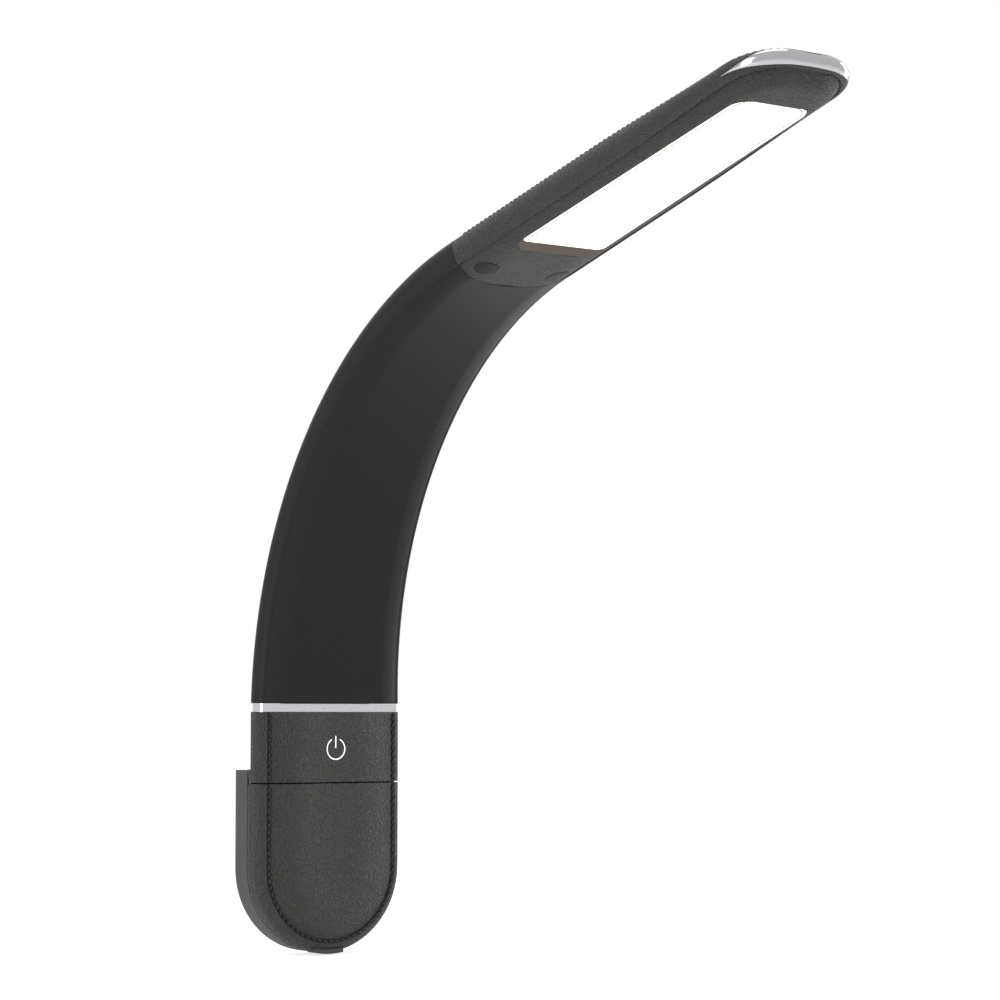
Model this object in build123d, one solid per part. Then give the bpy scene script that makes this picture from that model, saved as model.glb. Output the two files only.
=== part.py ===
from build123d import *
import math
import os

# Clip-on reading lamp with a flexible neck, in millimetres.
# +X is the lamp's right-hand side as its user faces it, the front looks along -Y and +Z is up.
# The origin is the middle of the clamp's closed jaws, where the two rubber pads meet.

# Outline across the lamp: a flat strip with round side edges and a raised front
BASE_WIDTH = 60.0
HEAD_WIDTH = 49.9
HEAD_TIP_WIDTH = 44.7
EDGE_RADIUS = 4.75
TIP_EDGE_RADIUS = 2.9
FRONT_RISE = 6.9
SHOULDER_INSET = 10.0
SHOULDER_DROP = 0.4
RIM_INSET = 7.2
RIM_DROP = 1.15
GROOVE_DEPTH = 0.5
GROOVE_WIDTH = 0.55
SLEEVE_GROOVE_INSET = 2.7
LEATHER_GROOVE_INSET = 4.2
LEATHER_GROOVE_DEPTH = 0.7
LEATHER_GROOVE_WIDTH = 0.9
HEAD_GROOVE_INSET = 3.2

# Heights of the base, measured from the middle of the jaws
ROUND_END_CENTRE = 3.6
SEAM_HEIGHT = 33.3
SEAM_GAP = 0.5
LEDGE_HEIGHT = 38.1
BASE_TOP = 58.2
RING_HEIGHT = 2.8
RING_INSET = 0.6
CENTRE_PLANE = -3.2

# Neck and head
BEND_RADIUS = 149.5
NECK_LENGTH = 196.2
HEAD_LENGTH = 154.2
HEAD_THIN_START = 70.0
TIP_CORNER = 16.75
HEAD_LAP = 8.0
HEAD_MOUTH_RADIUS = 44.0
HEAD_MOUTH_REACH = 4.75
LAP_WALL = 0.6
LAP_REBATE = 0.8
NECK_JOINTS = 6
SLEEVE_WALL = 1.8

# Walls and clearances
SHELL_WALL = 1.8
HEAD_WALL = 1.6
BACK_WALL = 1.8
FIT = 0.1
GAP = 0.3
RUNNING_FIT = 0.05

# Moving jaw
JAW_THICKNESS = 10.9
JAW_TOP = 37.8
JAW_EDGE_RADIUS = 4.0
JAW_FRONT = 0.1
JAW_LIP_FILLET = 2.5
JAW_WALL = 1.8
JAW_TOP_WALL = 1.2
JAW_OPENING = 40.0
JAW_PLATE_TOP = 26.0
JAW_PLATE_FRONT = 0.3
JAW_PLATE_THICKNESS = 2.2
HINGE_Y = 3.3
HINGE_Z = 34.0
HINGE_PIN_RADIUS = 1.2
HINGE_PIN_INSET = 4.7
KNUCKLE_RADIUS = 2.5
LUG_INSET = 11.0
LUG_WIDTH = 6.0
JAW_RIB_WIDTH = 3.0

# Rubber pads
PAD_INSET = 3.6
PAD_TOP = 25.0
PAD_THICKNESS = 1.2
PAD_RIB_PITCH = 3.2
PAD_RIB_DEPTH = 0.4
PAD_RIB_WIDTH = 1.0

# Torsion spring of the jaw
SPRING_WIRE = 0.7
SPRING_COIL_RADIUS = 1.9
SPRING_TURNS = 5.5
SPRING_PITCH = 1.3
SPRING_LEG = 7.5
SPRING_REST = 2.0

# Screws
CASE_SCREW_SHANK = 0.9
CASE_SCREW_HEAD = 1.7
CASE_SCREW_HEAD_HEIGHT = 1.0
CASE_SCREW_LENGTH = 4.6
BOSS_RADIUS = 2.6
BOSS_SPLIT = 1.0
PILOT_DEPTH = 3.8
CASE_SCREW_INSET = 8.0
CASE_SCREW_Z = 18.0
LOW_SCREW_INSET = 6.0
LOW_SCREW_ANGLE = 37.2
UPPER_SCREW_INSET = 7.0
UPPER_SCREW_DROP = 6.7
FOOT_SCREW_X = 12.0
FOOT_SCREW_DROP = 9.2
JAW_SCREW_INSET = 10.0
JAW_SCREW_Z = 19.0
JAW_LOW_SCREW_INSET = 8.1
JAW_LOW_SCREW_ANGLE = 36.5
HEAD_SCREW_X = 14.4
HEAD_SCREW_V = 5.6
HEAD_SCREW_SHANK = 1.1
HEAD_SCREW_HEAD = 1.9
HEAD_SCREW_HEAD_HEIGHT = 0.5
CAP_RADIUS = 4.0
CAP_SINK = 1.38
CAP_SWELL = 0.1
BOARD_SCREWS = 3
BOARD_SCREW_HEAD = 1.7
BOARD_SCREW_HEAD_HEIGHT = 0.9
BOARD_SCREW_SHANK = 0.9
BOARD_BOSS_RADIUS = 2.4

# Links of the neck
LINK_FRONT = 2.2
LINK_BACK = 2.8
LINK_EDGE = 8.5
LINK_END_GAP = 1.3
LINK_KNUCKLE_RADIUS = 2.8
LINK_KNUCKLE_HALF = 8.0
LINK_EAR_WIDTH = 7.0
LINK_PIN_RADIUS = 1.25
LINK_SIDE_GAP = 0.15
LINK_HOLE_RADIUS = 4.5
LINK_HOLE_X = 10.0
LEAD_RADIUS = 0.65
LEAD_SPACING = 1.5
LEAD_OFFSET = 4.1
FOOT_DEPTH = 17.0
FOOT_HALF = 17.0
ANCHOR_REACH = 17.0
ANCHOR_HALF = 19.0
PLATE_CLEARANCE = 0.3

# Power symbol
ICON_DROP = 13.0
ICON_RADIUS = 3.68
ICON_STROKE = 0.42
ICON_BAR_LOW = 0.2
ICON_BAR_HIGH = 4.6
ICON_GAP_ANGLE = 28.0

# Light window of the head
WINDOW_START = 27.3
WINDOW_END = 136.3
WINDOW_HALF_START = 16.2
WINDOW_HALF_END = 14.1
WINDOW_CORNER_START = 2.5
WINDOW_CORNER_END = 6.5
WINDOW_RAMP = 5.0
WINDOW_DEPTH = 0.9
DIFFUSER_MARGIN = 1.3
DIFFUSER_THICKNESS = 1.5
DIFFUSER_STEP = 0.8
LIGHT_BOX_WALL = 1.2
LIGHT_BOX_DEPTH = 3.2
BOARD_THICKNESS = 1.0
SPREADER_THICKNESS = 1.0
LED_ROW_X = 7.0
LED_COLUMNS = 14
LED_LENGTH = 3.5
LED_WIDTH = 2.8
LED_HEIGHT = 0.7
CONNECTOR_START = 20.0
CONNECTOR_LENGTH = 4.0
CONNECTOR_HALF = 4.0

# Chrome trim round the tip
TRIM_DEPTH = 1.0
TRIM_HALF = 22.2
TRIM_SHOULDER = 18.9
TRIM_END_LEVEL = -1.2
TRIM_LOW_LEVEL = -2.35
TRIM_HIGH_LEVEL = 1.45
TRIM_LOW_SLOPE = 0.5
TRIM_HIGH_SLOPE = 0.45

# Parts in the base
BATTERY_SIZE = (36.0, 4.0, 38.0)
BATTERY_GAP = 0.8
BATTERY_CORNER = 2.0
CONTROL_BOARD_SIZE = (28.0, 1.0, 18.0)
CONTROL_BOARD_DROP = 13.2
CONTROL_BOARD_GAP = 1.0
CHIPS = ((-8.5, 5.0, 4.0), (8.5, 5.0, 5.0), (0.0, 4.0, 3.0))
CHIP_THICKNESS = 0.7
CHIP_MARGIN = 2.0
TOUCH_MARGIN = 1.5
TOUCH_THICKNESS = 0.4
CHARGE_BOARD_SIZE = (17.0, 1.0, 9.0)
CHARGE_BOARD_RAISE = 2.3
SOCKET_WIDTH = 8.94
SOCKET_THICKNESS = 3.2
SOCKET_LENGTH = 7.3
SOCKET_WALL = 0.4
SOCKET_TONGUE = (6.5, 0.7)
PORT_Y = -4.6
SOCKET_BAY = 8.0
COVER_LENGTH = 11.0
COVER_WIDTH = 4.8
COVER_SWELL = 0.3
COVER_SEAT = 1.3
COVER_BEAD_RADIUS = 0.8
COVER_BEAD_INSET = 0.4
PORT_FRAME_WALL = 1.6
PORT_FRAME_LENGTH = 18.0
PORT_FRAME_WIDTH = 8.0
PLUG_LENGTH = 8.8
PLUG_WIDTH = 3.0
PLUG_DEPTH = 1.2
PLUG_CLEARANCE = 0.3

HALF_BASE = BASE_WIDTH / 2
HALF_HEAD = HEAD_WIDTH / 2
HEAD_STRAIGHT = HEAD_LENGTH - TIP_CORNER
ICON_HEIGHT = BASE_TOP - ICON_DROP
CONTROL_BOARD_MIDDLE = BASE_TOP - CONTROL_BOARD_DROP
COVER_BEAD_X = -COVER_LENGTH / 2 - COVER_BEAD_INSET
LUG_CENTRE = HALF_BASE - LUG_INSET
HINGE_PIN_HALF = HALF_BASE - HINGE_PIN_INSET
NECK_FOOT = BASE_TOP + RING_HEIGHT
BEND_ANGLE = NECK_LENGTH / BEND_RADIUS
LINK_LENGTH = NECK_LENGTH / NECK_JOINTS
FAR = 400.0


def half_width(along):
    """Half the neck's width at a distance along it from its foot."""
    return HALF_BASE + (HALF_HEAD - HALF_BASE) * min(max(along, 0.0), NECK_LENGTH) / NECK_LENGTH


def neck_plane(along):
    """Plane square to the neck's curve: local X across, local Y to the back, local Z along it."""
    turn = along / BEND_RADIUS
    origin = (
        0.0,
        CENTRE_PLANE - BEND_RADIUS * (1 - math.cos(turn)),
        NECK_FOOT + BEND_RADIUS * math.sin(turn),
    )
    return Plane(origin=origin, x_dir=(1, 0, 0), z_dir=(0, -math.sin(turn), math.cos(turn)))


def head_frame():
    return neck_plane(NECK_LENGTH)


def outline(half, groove_inset, edge=EDGE_RADIUS, width=GROOVE_WIDTH, depth=GROOVE_DEPTH, rim=()):
    """Outer outline across the lamp: flat back, round sides, groove and raised front."""
    side = half - edge
    lip = math.acos((edge - groove_inset + width) / edge)
    lip_x = side + edge * math.cos(lip)
    lip_y = -edge * math.sin(lip)
    groove_x = half - groove_inset
    groove_y = lip_y + depth
    rise = [(groove_x, groove_y)]
    rise += [(half - inset, drop - FRONT_RISE) for inset, drop in (*rim, (SHOULDER_INSET, SHOULDER_DROP))]
    back = Line((-side, edge), (side, edge))
    right = ThreePointArc((side, edge), (half, 0), (lip_x, lip_y))
    right_groove = Line((lip_x, lip_y), (groove_x, groove_y))
    front = Spline(
        *rise,
        (0, -FRONT_RISE),
        *[(-x, y) for x, y in reversed(rise)],
        tangents=[(-0.6, -0.8), (-0.6, 0.8)],
        tangent_scalars=[0.5, 0.5],
    )
    left_groove = Line((-groove_x, groove_y), (-lip_x, lip_y))
    left = ThreePointArc((-lip_x, lip_y), (-half, 0), (-side, edge))
    return make_face([back, right, right_groove, front, left_groove, left])


def base_outline():
    return outline(HALF_BASE, LEATHER_GROOVE_INSET, width=LEATHER_GROOVE_WIDTH, depth=LEATHER_GROOVE_DEPTH)


def head_outline(half, edge):
    return outline(half, HEAD_GROOVE_INSET, edge, rim=((RIM_INSET, RIM_DROP),))


def cavity(half, wall, edge=EDGE_RADIUS):
    """Inner outline across the lamp, a wall inside the outer one."""
    radius = edge - wall
    side = half - edge
    low_x = side + radius * math.cos(math.radians(50))
    low_y = -radius * math.sin(math.radians(50))
    back = Line((-side, radius), (side, radius))
    right = ThreePointArc((side, radius), (side + radius, 0), (low_x, low_y))
    front = ThreePointArc((low_x, low_y), (0, wall - FRONT_RISE), (-low_x, low_y))
    left = ThreePointArc((-low_x, low_y), (-side - radius, 0), (-side, radius))
    return make_face([back, right, front, left])


def box_between(x, y, z):
    """Box from pairs of limits."""
    size = (x[1] - x[0], y[1] - y[0], z[1] - z[0])
    middle = ((x[0] + x[1]) / 2, (y[0] + y[1]) / 2, (z[0] + z[1]) / 2)
    return Pos(*middle) * Box(*size)


def rod_x(radius, x, y, z):
    """Round bar along X between two limits."""
    return Pos((x[0] + x[1]) / 2, y, z) * Rot(0, 90, 0) * Cylinder(radius, x[1] - x[0])


def rod_y(radius, x, y, z):
    """Round bar along Y between two limits."""
    return Pos(x, (y[0] + y[1]) / 2, z) * Rot(90, 0, 0) * Cylinder(radius, y[1] - y[0])


def both_sides(points):
    return [(side * x, z) for x, z in points for side in (-1, 1)]


def round_end_place(inset, angle):
    """Place on the base's round lower end, an inset from its edge and at an angle from straight down."""
    reach = HALF_BASE - inset
    turn = math.radians(angle)
    return (reach * math.sin(turn), ROUND_END_CENTRE - reach * math.cos(turn))


def base_solid(face, top):
    """A section carried down the base and turned round its half-round lower end."""
    placed = Pos(0, CENTRE_PLANE, ROUND_END_CENTRE) * face
    upright = extrude(placed, amount=top - ROUND_END_CENTRE, dir=(0, 0, 1))
    half = placed & Pos(FAR / 2, 0, ROUND_END_CENTRE) * Rectangle(FAR, FAR)
    axis = Axis((0, CENTRE_PLANE, ROUND_END_CENTRE), (0, 1, 0))
    return upright + revolve(half, axis=axis, revolution_arc=180)


def rounded_slab(radius, top, y):
    """Flat plate with the base's outline: straight sides and a half-round lower end."""
    round_end = Circle(radius) & Pos(0, -radius) * Rectangle(2 * radius, 2 * radius)
    outline_face = Pos(0, top / 2) * Rectangle(2 * radius, top) + round_end
    plate = extrude(Plane.XZ * outline_face, amount=y[1] - y[0])
    return Pos(0, y[1], ROUND_END_CENTRE) * plate


# Places of the screws
LOWER_SCREWS = ((HALF_BASE - CASE_SCREW_INSET, CASE_SCREW_Z), round_end_place(LOW_SCREW_INSET, LOW_SCREW_ANGLE))
UPPER_SCREW = (HALF_BASE - UPPER_SCREW_INSET, BASE_TOP - UPPER_SCREW_DROP)
FOOT_SCREW = (FOOT_SCREW_X, BASE_TOP - FOOT_SCREW_DROP)
JAW_SCREWS = (
    (HALF_BASE - JAW_SCREW_INSET, JAW_SCREW_Z),
    round_end_place(JAW_LOW_SCREW_INSET, JAW_LOW_SCREW_ANGLE),
)

# Where the front covers end and the back housing begins, and the housing's two back faces
COVER_BACK = CENTRE_PLANE + 1.0
HOUSING_BACK = CENTRE_PLANE + EDGE_RADIUS
GRIP_FACE = -0.2


def base_shell():
    return base_solid(base_outline(), BASE_TOP) - base_solid(
        cavity(HALF_BASE, SHELL_WALL), BASE_TOP
    )


def cover_shell():
    return base_shell() & box_between((-FAR, FAR), (-FAR, COVER_BACK - FIT), (-FAR, FAR))


def icon_sketch():
    """Power symbol: an open ring with a bar through the opening."""
    ring = Circle(ICON_RADIUS + ICON_STROKE / 2) - Circle(ICON_RADIUS - ICON_STROKE / 2)
    reach = 2 * ICON_RADIUS
    spread = reach * math.tan(math.radians(ICON_GAP_ANGLE))
    ring -= make_face(Polyline((0, 0), (spread, reach), (-spread, reach), close=True))
    bar_length = ICON_BAR_HIGH - ICON_BAR_LOW
    bar = Pos(0, (ICON_BAR_HIGH + ICON_BAR_LOW) / 2) * SlotOverall(bar_length, ICON_STROKE, rotation=90)
    return ring + bar


def icon_prism():
    block = extrude(Plane.XZ * icon_sketch(), amount=2 * FRONT_RISE)
    return Pos(0, CENTRE_PLANE - SHELL_WALL, ICON_HEIGHT) * block


def front_boss(x, z, shell):
    """Screw boss from the inside of the front shell back to the housing's boss."""
    boss = rod_y(BOSS_RADIUS, x, (-FAR, CENTRE_PLANE - BOSS_SPLIT), z)
    inside = base_solid(cavity(HALF_BASE, SHELL_WALL - FIT), BASE_TOP)
    pilot = rod_y(CASE_SCREW_SHANK, x, (CENTRE_PLANE - PILOT_DEPTH, COVER_BACK), z)
    return (shell + (boss & inside)) - pilot


def upper_cover():
    shell = cover_shell() & box_between((-FAR, FAR), (-FAR, FAR), (SEAM_HEIGHT + SEAM_GAP / 2, BASE_TOP))
    for x, z in both_sides([UPPER_SCREW]):
        shell = front_boss(x, z, shell)
    return shell - icon_prism()


def lower_cover():
    shell = cover_shell() & box_between((-FAR, FAR), (-FAR, FAR), (-FAR, SEAM_HEIGHT - SEAM_GAP / 2))
    for x, z in both_sides(LOWER_SCREWS):
        shell = front_boss(x, z, shell)
    return shell + port_frame() - port_recess() - port_tunnel()


def pad_plate(front, back):
    return rounded_slab(HALF_BASE - PAD_INSET, PAD_TOP - ROUND_END_CENTRE, (front, back))


def pad_ribs(face, towards):
    """Grooves across a pad's gripping face."""
    count = int((PAD_TOP + HALF_BASE) / PAD_RIB_PITCH)
    grooves = None
    for index in range(count):
        z = PAD_TOP - (index + 1) * PAD_RIB_PITCH
        far = face + towards * PAD_RIB_DEPTH
        limits = (min(face, far), max(face, far))
        groove = box_between((-FAR, FAR), limits, (z - PAD_RIB_WIDTH / 2, z + PAD_RIB_WIDTH / 2))
        grooves = groove if grooves is None else grooves + groove
    return grooves


def fixed_pad():
    return pad_plate(-PAD_THICKNESS, 0.0) - pad_ribs(0.0, -1)


def case_screw(x, z, head_face):
    """Countersunk screw that goes in from the back and points to the front."""
    head = rod_y(CASE_SCREW_HEAD, x, (head_face - CASE_SCREW_HEAD_HEIGHT, head_face), z)
    start = head_face - CASE_SCREW_HEAD_HEIGHT
    return head + rod_y(CASE_SCREW_SHANK, x, (start - CASE_SCREW_LENGTH, start), z)


def case_screw_places():
    lower = [(x, z, -PAD_THICKNESS) for x, z in both_sides(LOWER_SCREWS)]
    upper = [(x, z, HOUSING_BACK - GAP) for x, z in both_sides([UPPER_SCREW, FOOT_SCREW])]
    return lower + upper


def case_screws():
    return [case_screw(*place) for place in case_screw_places()]


def rear_housing():
    """Back half of the base: upper back, ledge, gripping face, bosses and hinge ears."""
    outer = base_solid(base_outline(), BASE_TOP)
    room = base_solid(cavity(HALF_BASE, SHELL_WALL), BASE_TOP)
    upper = (outer - room) & box_between((-FAR, FAR), (COVER_BACK, FAR), (LEDGE_HEIGHT, FAR))
    ledge_limits = (LEDGE_HEIGHT, LEDGE_HEIGHT + SHELL_WALL)
    ledge = outer & box_between((-FAR, FAR), (GRIP_FACE - BACK_WALL, FAR), ledge_limits)
    straight = LEDGE_HEIGHT - ROUND_END_CENTRE
    lower = rounded_slab(HALF_BASE, straight, (COVER_BACK, GRIP_FACE))
    lower -= rounded_slab(HALF_BASE - SHELL_WALL, straight, (-FAR, GRIP_FACE - BACK_WALL))
    body = upper + ledge + lower
    for x, z, face in case_screw_places():
        inner = CENTRE_PLANE + LINK_BACK if (abs(x), z) == FOOT_SCREW else CENTRE_PLANE - BOSS_SPLIT
        body += rod_y(BOSS_RADIUS, x, (inner, face), z)
    body -= jaw_relief()
    body += hinge_lugs() + spring_rest(-1, (GRIP_FACE, HINGE_Y - SPRING_COIL_RADIUS - SPRING_WIRE / 2))
    body -= pad_plate(-PAD_THICKNESS, FAR)
    for x, z, face in case_screw_places():
        body -= rod_y(CASE_SCREW_HEAD + FIT, x, (face - CASE_SCREW_HEAD_HEIGHT, face + PAD_THICKNESS), z)
        body -= rod_y(CASE_SCREW_SHANK, x, (-FAR, face), z)
    return body - port_recess() - port_tunnel()


def jaw_relief():
    """Shallow hollow that the jaw's upper lip swings through."""
    reach = math.hypot(HINGE_Y - JAW_FRONT - JAW_LIP_FILLET, JAW_TOP - JAW_LIP_FILLET - HINGE_Z)
    radius = reach + JAW_LIP_FILLET + GAP
    drum = rod_x(radius, (-FAR, FAR), HINGE_Y, HINGE_Z)
    return drum & box_between((-FAR, FAR), (-FAR, GRIP_FACE), (-FAR, LEDGE_HEIGHT))


def hinge_lugs():
    """Two ears behind the housing that carry the jaw's pin."""
    lugs = Part()
    for side in (-1, 1):
        limits = (side * LUG_CENTRE - LUG_WIDTH / 2, side * LUG_CENTRE + LUG_WIDTH / 2)
        ear = rod_x(KNUCKLE_RADIUS, limits, HINGE_Y, HINGE_Z)
        root = GRIP_FACE - BACK_WALL
        ear += box_between(limits, (root, HINGE_Y), (HINGE_Z - KNUCKLE_RADIUS, HINGE_Z + KNUCKLE_RADIUS))
        lugs += ear - rod_x(HINGE_PIN_RADIUS + RUNNING_FIT, limits, HINGE_Y, HINGE_Z)
    return lugs


def spring_rest(side, y):
    """Small block that one leg of the spring bears on."""
    slope = SPRING_PITCH / (2 * math.pi * SPRING_COIL_RADIUS)
    x = side * (SPRING_TURNS * SPRING_PITCH / 2 + SPRING_LEG * math.sin(math.atan(slope)))
    low = HINGE_Z - SPRING_LEG
    return box_between((x - SPRING_REST / 2, x + SPRING_REST / 2), y, (low, low + SPRING_REST))


def port_bottom():
    return ROUND_END_CENTRE - HALF_BASE


def port_band(outer, inner, length, width):
    """Curved strip across the base's lower end, between two radii."""
    window = Pos(0, -HALF_BASE) * Rectangle(length, HALF_BASE)
    strip = extrude(Plane.XZ * ((Circle(outer) - Circle(inner)) & window), amount=width)
    return Pos(0, PORT_Y + width / 2, ROUND_END_CENTRE) * strip


def port_sector(grow):
    """The cover's pad, or with some growth the recess it lies in."""
    outer = HALF_BASE + COVER_SWELL
    inner = HALF_BASE - COVER_SEAT - grow
    return port_band(outer, inner, COVER_LENGTH + 2 * grow, COVER_WIDTH + 2 * grow)


def port_bead(grow):
    """Round bead that the cover turns on, near the pad's left end."""
    middle = HALF_BASE - COVER_SEAT + COVER_BEAD_RADIUS
    z = ROUND_END_CENTRE - math.sqrt(middle**2 - COVER_BEAD_X**2)
    half = COVER_WIDTH / 2 + grow
    return rod_y(COVER_BEAD_RADIUS + grow, COVER_BEAD_X, (PORT_Y - half, PORT_Y + half), z)


def port_recess():
    return port_sector(FIT) + port_bead(FIT)


def port_frame():
    """Thicker wall of the lower cover round the charging port."""
    outer = HALF_BASE - SHELL_WALL + FIT
    inner = HALF_BASE - SHELL_WALL - PORT_FRAME_WALL
    band = port_band(outer, inner, PORT_FRAME_LENGTH, PORT_FRAME_WIDTH)
    front = box_between((-FAR, FAR), (-FAR, COVER_BACK - FIT), (-FAR, FAR))
    return band & front & base_solid(base_outline(), BASE_TOP)


def port_tunnel():
    """Opening through the base's lower wall, and the bay for the socket behind it."""
    half_x = PLUG_LENGTH / 2 + PLUG_CLEARANCE
    half_y = PLUG_WIDTH / 2 + PLUG_CLEARANCE
    top = port_bottom() + COVER_SEAT + PLUG_DEPTH + SOCKET_BAY
    return box_between((-half_x, half_x), (PORT_Y - half_y, PORT_Y + half_y), (-FAR, top))


def port_cover():
    """Rubber flap: a curved pad with a plug behind it and a bead that it turns on."""
    seat = port_bottom() + COVER_SEAT
    plug = box_between(
        (-PLUG_LENGTH / 2, PLUG_LENGTH / 2),
        (PORT_Y - PLUG_WIDTH / 2, PORT_Y + PLUG_WIDTH / 2),
        (seat - FIT, seat + PLUG_DEPTH),
    )
    return port_sector(0.0) + port_bead(0.0) + plug


def charge_socket():
    """Metal shell of the charging socket with its tongue, open towards the port."""
    low = port_bottom() + COVER_SEAT + PLUG_DEPTH + GAP
    size = (SOCKET_WIDTH, SOCKET_THICKNESS)
    shell = extrude(RectangleRounded(*size, SOCKET_THICKNESS / 2 - FIT), amount=SOCKET_LENGTH)
    inner = (SOCKET_WIDTH - 2 * SOCKET_WALL, SOCKET_THICKNESS - 2 * SOCKET_WALL)
    hollow = extrude(RectangleRounded(*inner, inner[1] / 2 - FIT), amount=SOCKET_LENGTH - SOCKET_WALL)
    tongue = Pos(0, 0, SOCKET_LENGTH / 2 + SOCKET_WALL) * Box(*SOCKET_TONGUE, SOCKET_LENGTH - 2 * SOCKET_WALL)
    return Pos(0, PORT_Y, low) * (shell - hollow + tongue)


def charge_board_low():
    return port_bottom() + COVER_SEAT + PLUG_DEPTH + GAP + CHARGE_BOARD_RAISE


def charge_board():
    x, y, z = CHARGE_BOARD_SIZE
    back = PORT_Y + SOCKET_THICKNESS / 2 + y
    low = charge_board_low()
    return box_between((-x / 2, x / 2), (back - y, back), (low, low + z))


def battery_cell():
    x, y, z = BATTERY_SIZE
    back = GRIP_FACE - BACK_WALL
    low = charge_board_low() + CHARGE_BOARD_SIZE[2] + BATTERY_GAP
    block = box_between((-x / 2, x / 2), (back - y, back), (low, low + z))
    return fillet(block.edges().filter_by(Axis.Y), BATTERY_CORNER)


def control_board():
    x, y, z = CONTROL_BOARD_SIZE
    block = Box(x, y, z)
    return Pos(0, control_board_front() + y / 2, CONTROL_BOARD_MIDDLE) * block


def control_board_front():
    return CENTRE_PLANE - FRONT_RISE + SHELL_WALL + CONTROL_BOARD_GAP


def board_parts():
    """Touch plate on the front of the control board and chips on its back."""
    front = control_board_front()
    back = front + CONTROL_BOARD_SIZE[1]
    low = CONTROL_BOARD_MIDDLE - CONTROL_BOARD_SIZE[2] / 2 + CHIP_MARGIN
    parts = [rod_y(ICON_RADIUS + TOUCH_MARGIN, 0, (front - TOUCH_THICKNESS, front), ICON_HEIGHT)]
    for x, width, height in CHIPS:
        limits = (x - width / 2, x + width / 2)
        parts.append(box_between(limits, (back, back + CHIP_THICKNESS), (low, low + height)))
    return parts


def neck_ring():
    """Chromed ring between the base and the neck."""
    ring = extrude(Pos(0, CENTRE_PLANE, BASE_TOP) * cavity(HALF_BASE, RING_INSET), amount=RING_HEIGHT)
    reach = FOOT_HALF + PLATE_CLEARANCE
    y = (CENTRE_PLANE - LINK_FRONT - PLATE_CLEARANCE, CENTRE_PLANE + LINK_BACK + PLATE_CLEARANCE)
    ring -= box_between((-reach, reach), y, (-FAR, FAR))
    wires = LEAD_SPACING / 2 + LEAD_RADIUS + PLATE_CLEARANCE
    low = CENTRE_PLANE - LEAD_OFFSET - LEAD_RADIUS - PLATE_CLEARANCE
    return ring - box_between((-wires, wires), (low, CENTRE_PLANE), (-FAR, FAR))


def power_icon():
    """Light guide in the shape of the power symbol, flush with the front."""
    return icon_prism() & cover_shell()


def jaw_face(wall, front):
    """Outline across the jaw: straight sides and round back corners."""
    back = JAW_FRONT + JAW_THICKNESS - wall
    half = HALF_BASE - wall
    face = Pos(0, (front + back) / 2 - CENTRE_PLANE) * Rectangle(2 * half, back - front)
    return fillet(face.vertices().group_by(Axis.Y)[-1], JAW_EDGE_RADIUS - wall)


def jaw_shell():
    """Hollow outer half of the moving jaw, with its hinge ribs and screw bosses."""
    outer = base_solid(jaw_face(0.0, JAW_FRONT), JAW_TOP)
    room = base_solid(jaw_face(JAW_WALL, JAW_FRONT - GAP), JAW_TOP - JAW_TOP_WALL)
    shell = outer - room
    inner_back = JAW_FRONT + JAW_THICKNESS - JAW_WALL
    for centre in (-LUG_CENTRE, LUG_CENTRE):
        for side in (-1, 1):
            x = centre + side * (LUG_WIDTH / 2 + GAP + JAW_RIB_WIDTH / 2)
            limits = (x - JAW_RIB_WIDTH / 2, x + JAW_RIB_WIDTH / 2)
            rib = rod_x(KNUCKLE_RADIUS, limits, HINGE_Y, HINGE_Z)
            rib += box_between(limits, (HINGE_Y, inner_back), (HINGE_Z - KNUCKLE_RADIUS, JAW_TOP - JAW_TOP_WALL))
            shell += rib
    plate_back = JAW_PLATE_FRONT + JAW_PLATE_THICKNESS
    for x, z in both_sides(JAW_SCREWS):
        shell += rod_y(BOSS_RADIUS, x, (plate_back, inner_back), z)
        shell -= rod_y(CASE_SCREW_SHANK, x, (plate_back, inner_back), z)
    shell += spring_rest(1, (HINGE_Y + SPRING_COIL_RADIUS + SPRING_WIRE / 2, inner_back))
    shell -= rod_x(HINGE_PIN_RADIUS, (-HINGE_PIN_HALF, HINGE_PIN_HALF), HINGE_Y, HINGE_Z)
    lip_y = JAW_FRONT + JAW_LIP_FILLET
    lip_z = JAW_TOP - JAW_LIP_FILLET
    corner = box_between((-FAR, FAR), (JAW_FRONT, lip_y), (lip_z, JAW_TOP))
    shell -= corner - rod_x(JAW_LIP_FILLET, (-FAR, FAR), lip_y, lip_z)
    return shell - lug_sweep()


def lug_sweep():
    """Room in the jaw's top for the housing's ears over the whole swing."""
    swing = HINGE_Y + KNUCKLE_RADIUS * math.sin(math.radians(JAW_OPENING)) + GAP
    room = Part()
    for side in (-1, 1):
        half = LUG_WIDTH / 2 + GAP
        limits = (side * LUG_CENTRE - half, side * LUG_CENTRE + half)
        low = HINGE_Z - KNUCKLE_RADIUS - GAP
        room += box_between(limits, (-FAR, swing), (low, FAR))
        room += rod_x(KNUCKLE_RADIUS + GAP, limits, HINGE_Y, HINGE_Z)
    return room


def jaw_plate():
    """Inner face of the moving jaw, which holds its rubber pad."""
    radius = HALF_BASE - JAW_WALL - FIT
    back = JAW_PLATE_FRONT + JAW_PLATE_THICKNESS
    plate = rounded_slab(radius, JAW_PLATE_TOP - ROUND_END_CENTRE, (JAW_PLATE_FRONT, back))
    plate -= pad_plate(-FAR, PAD_THICKNESS)
    for x, z in both_sides(JAW_SCREWS):
        plate -= rod_y(CASE_SCREW_SHANK, x, (-FAR, FAR), z)
        plate -= rod_y(CASE_SCREW_HEAD + FIT, x, (-FAR, PAD_THICKNESS + CASE_SCREW_HEAD_HEIGHT), z)
    return plate


def jaw_pad():
    return pad_plate(0.0, PAD_THICKNESS) - pad_ribs(0.0, 1)


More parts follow.
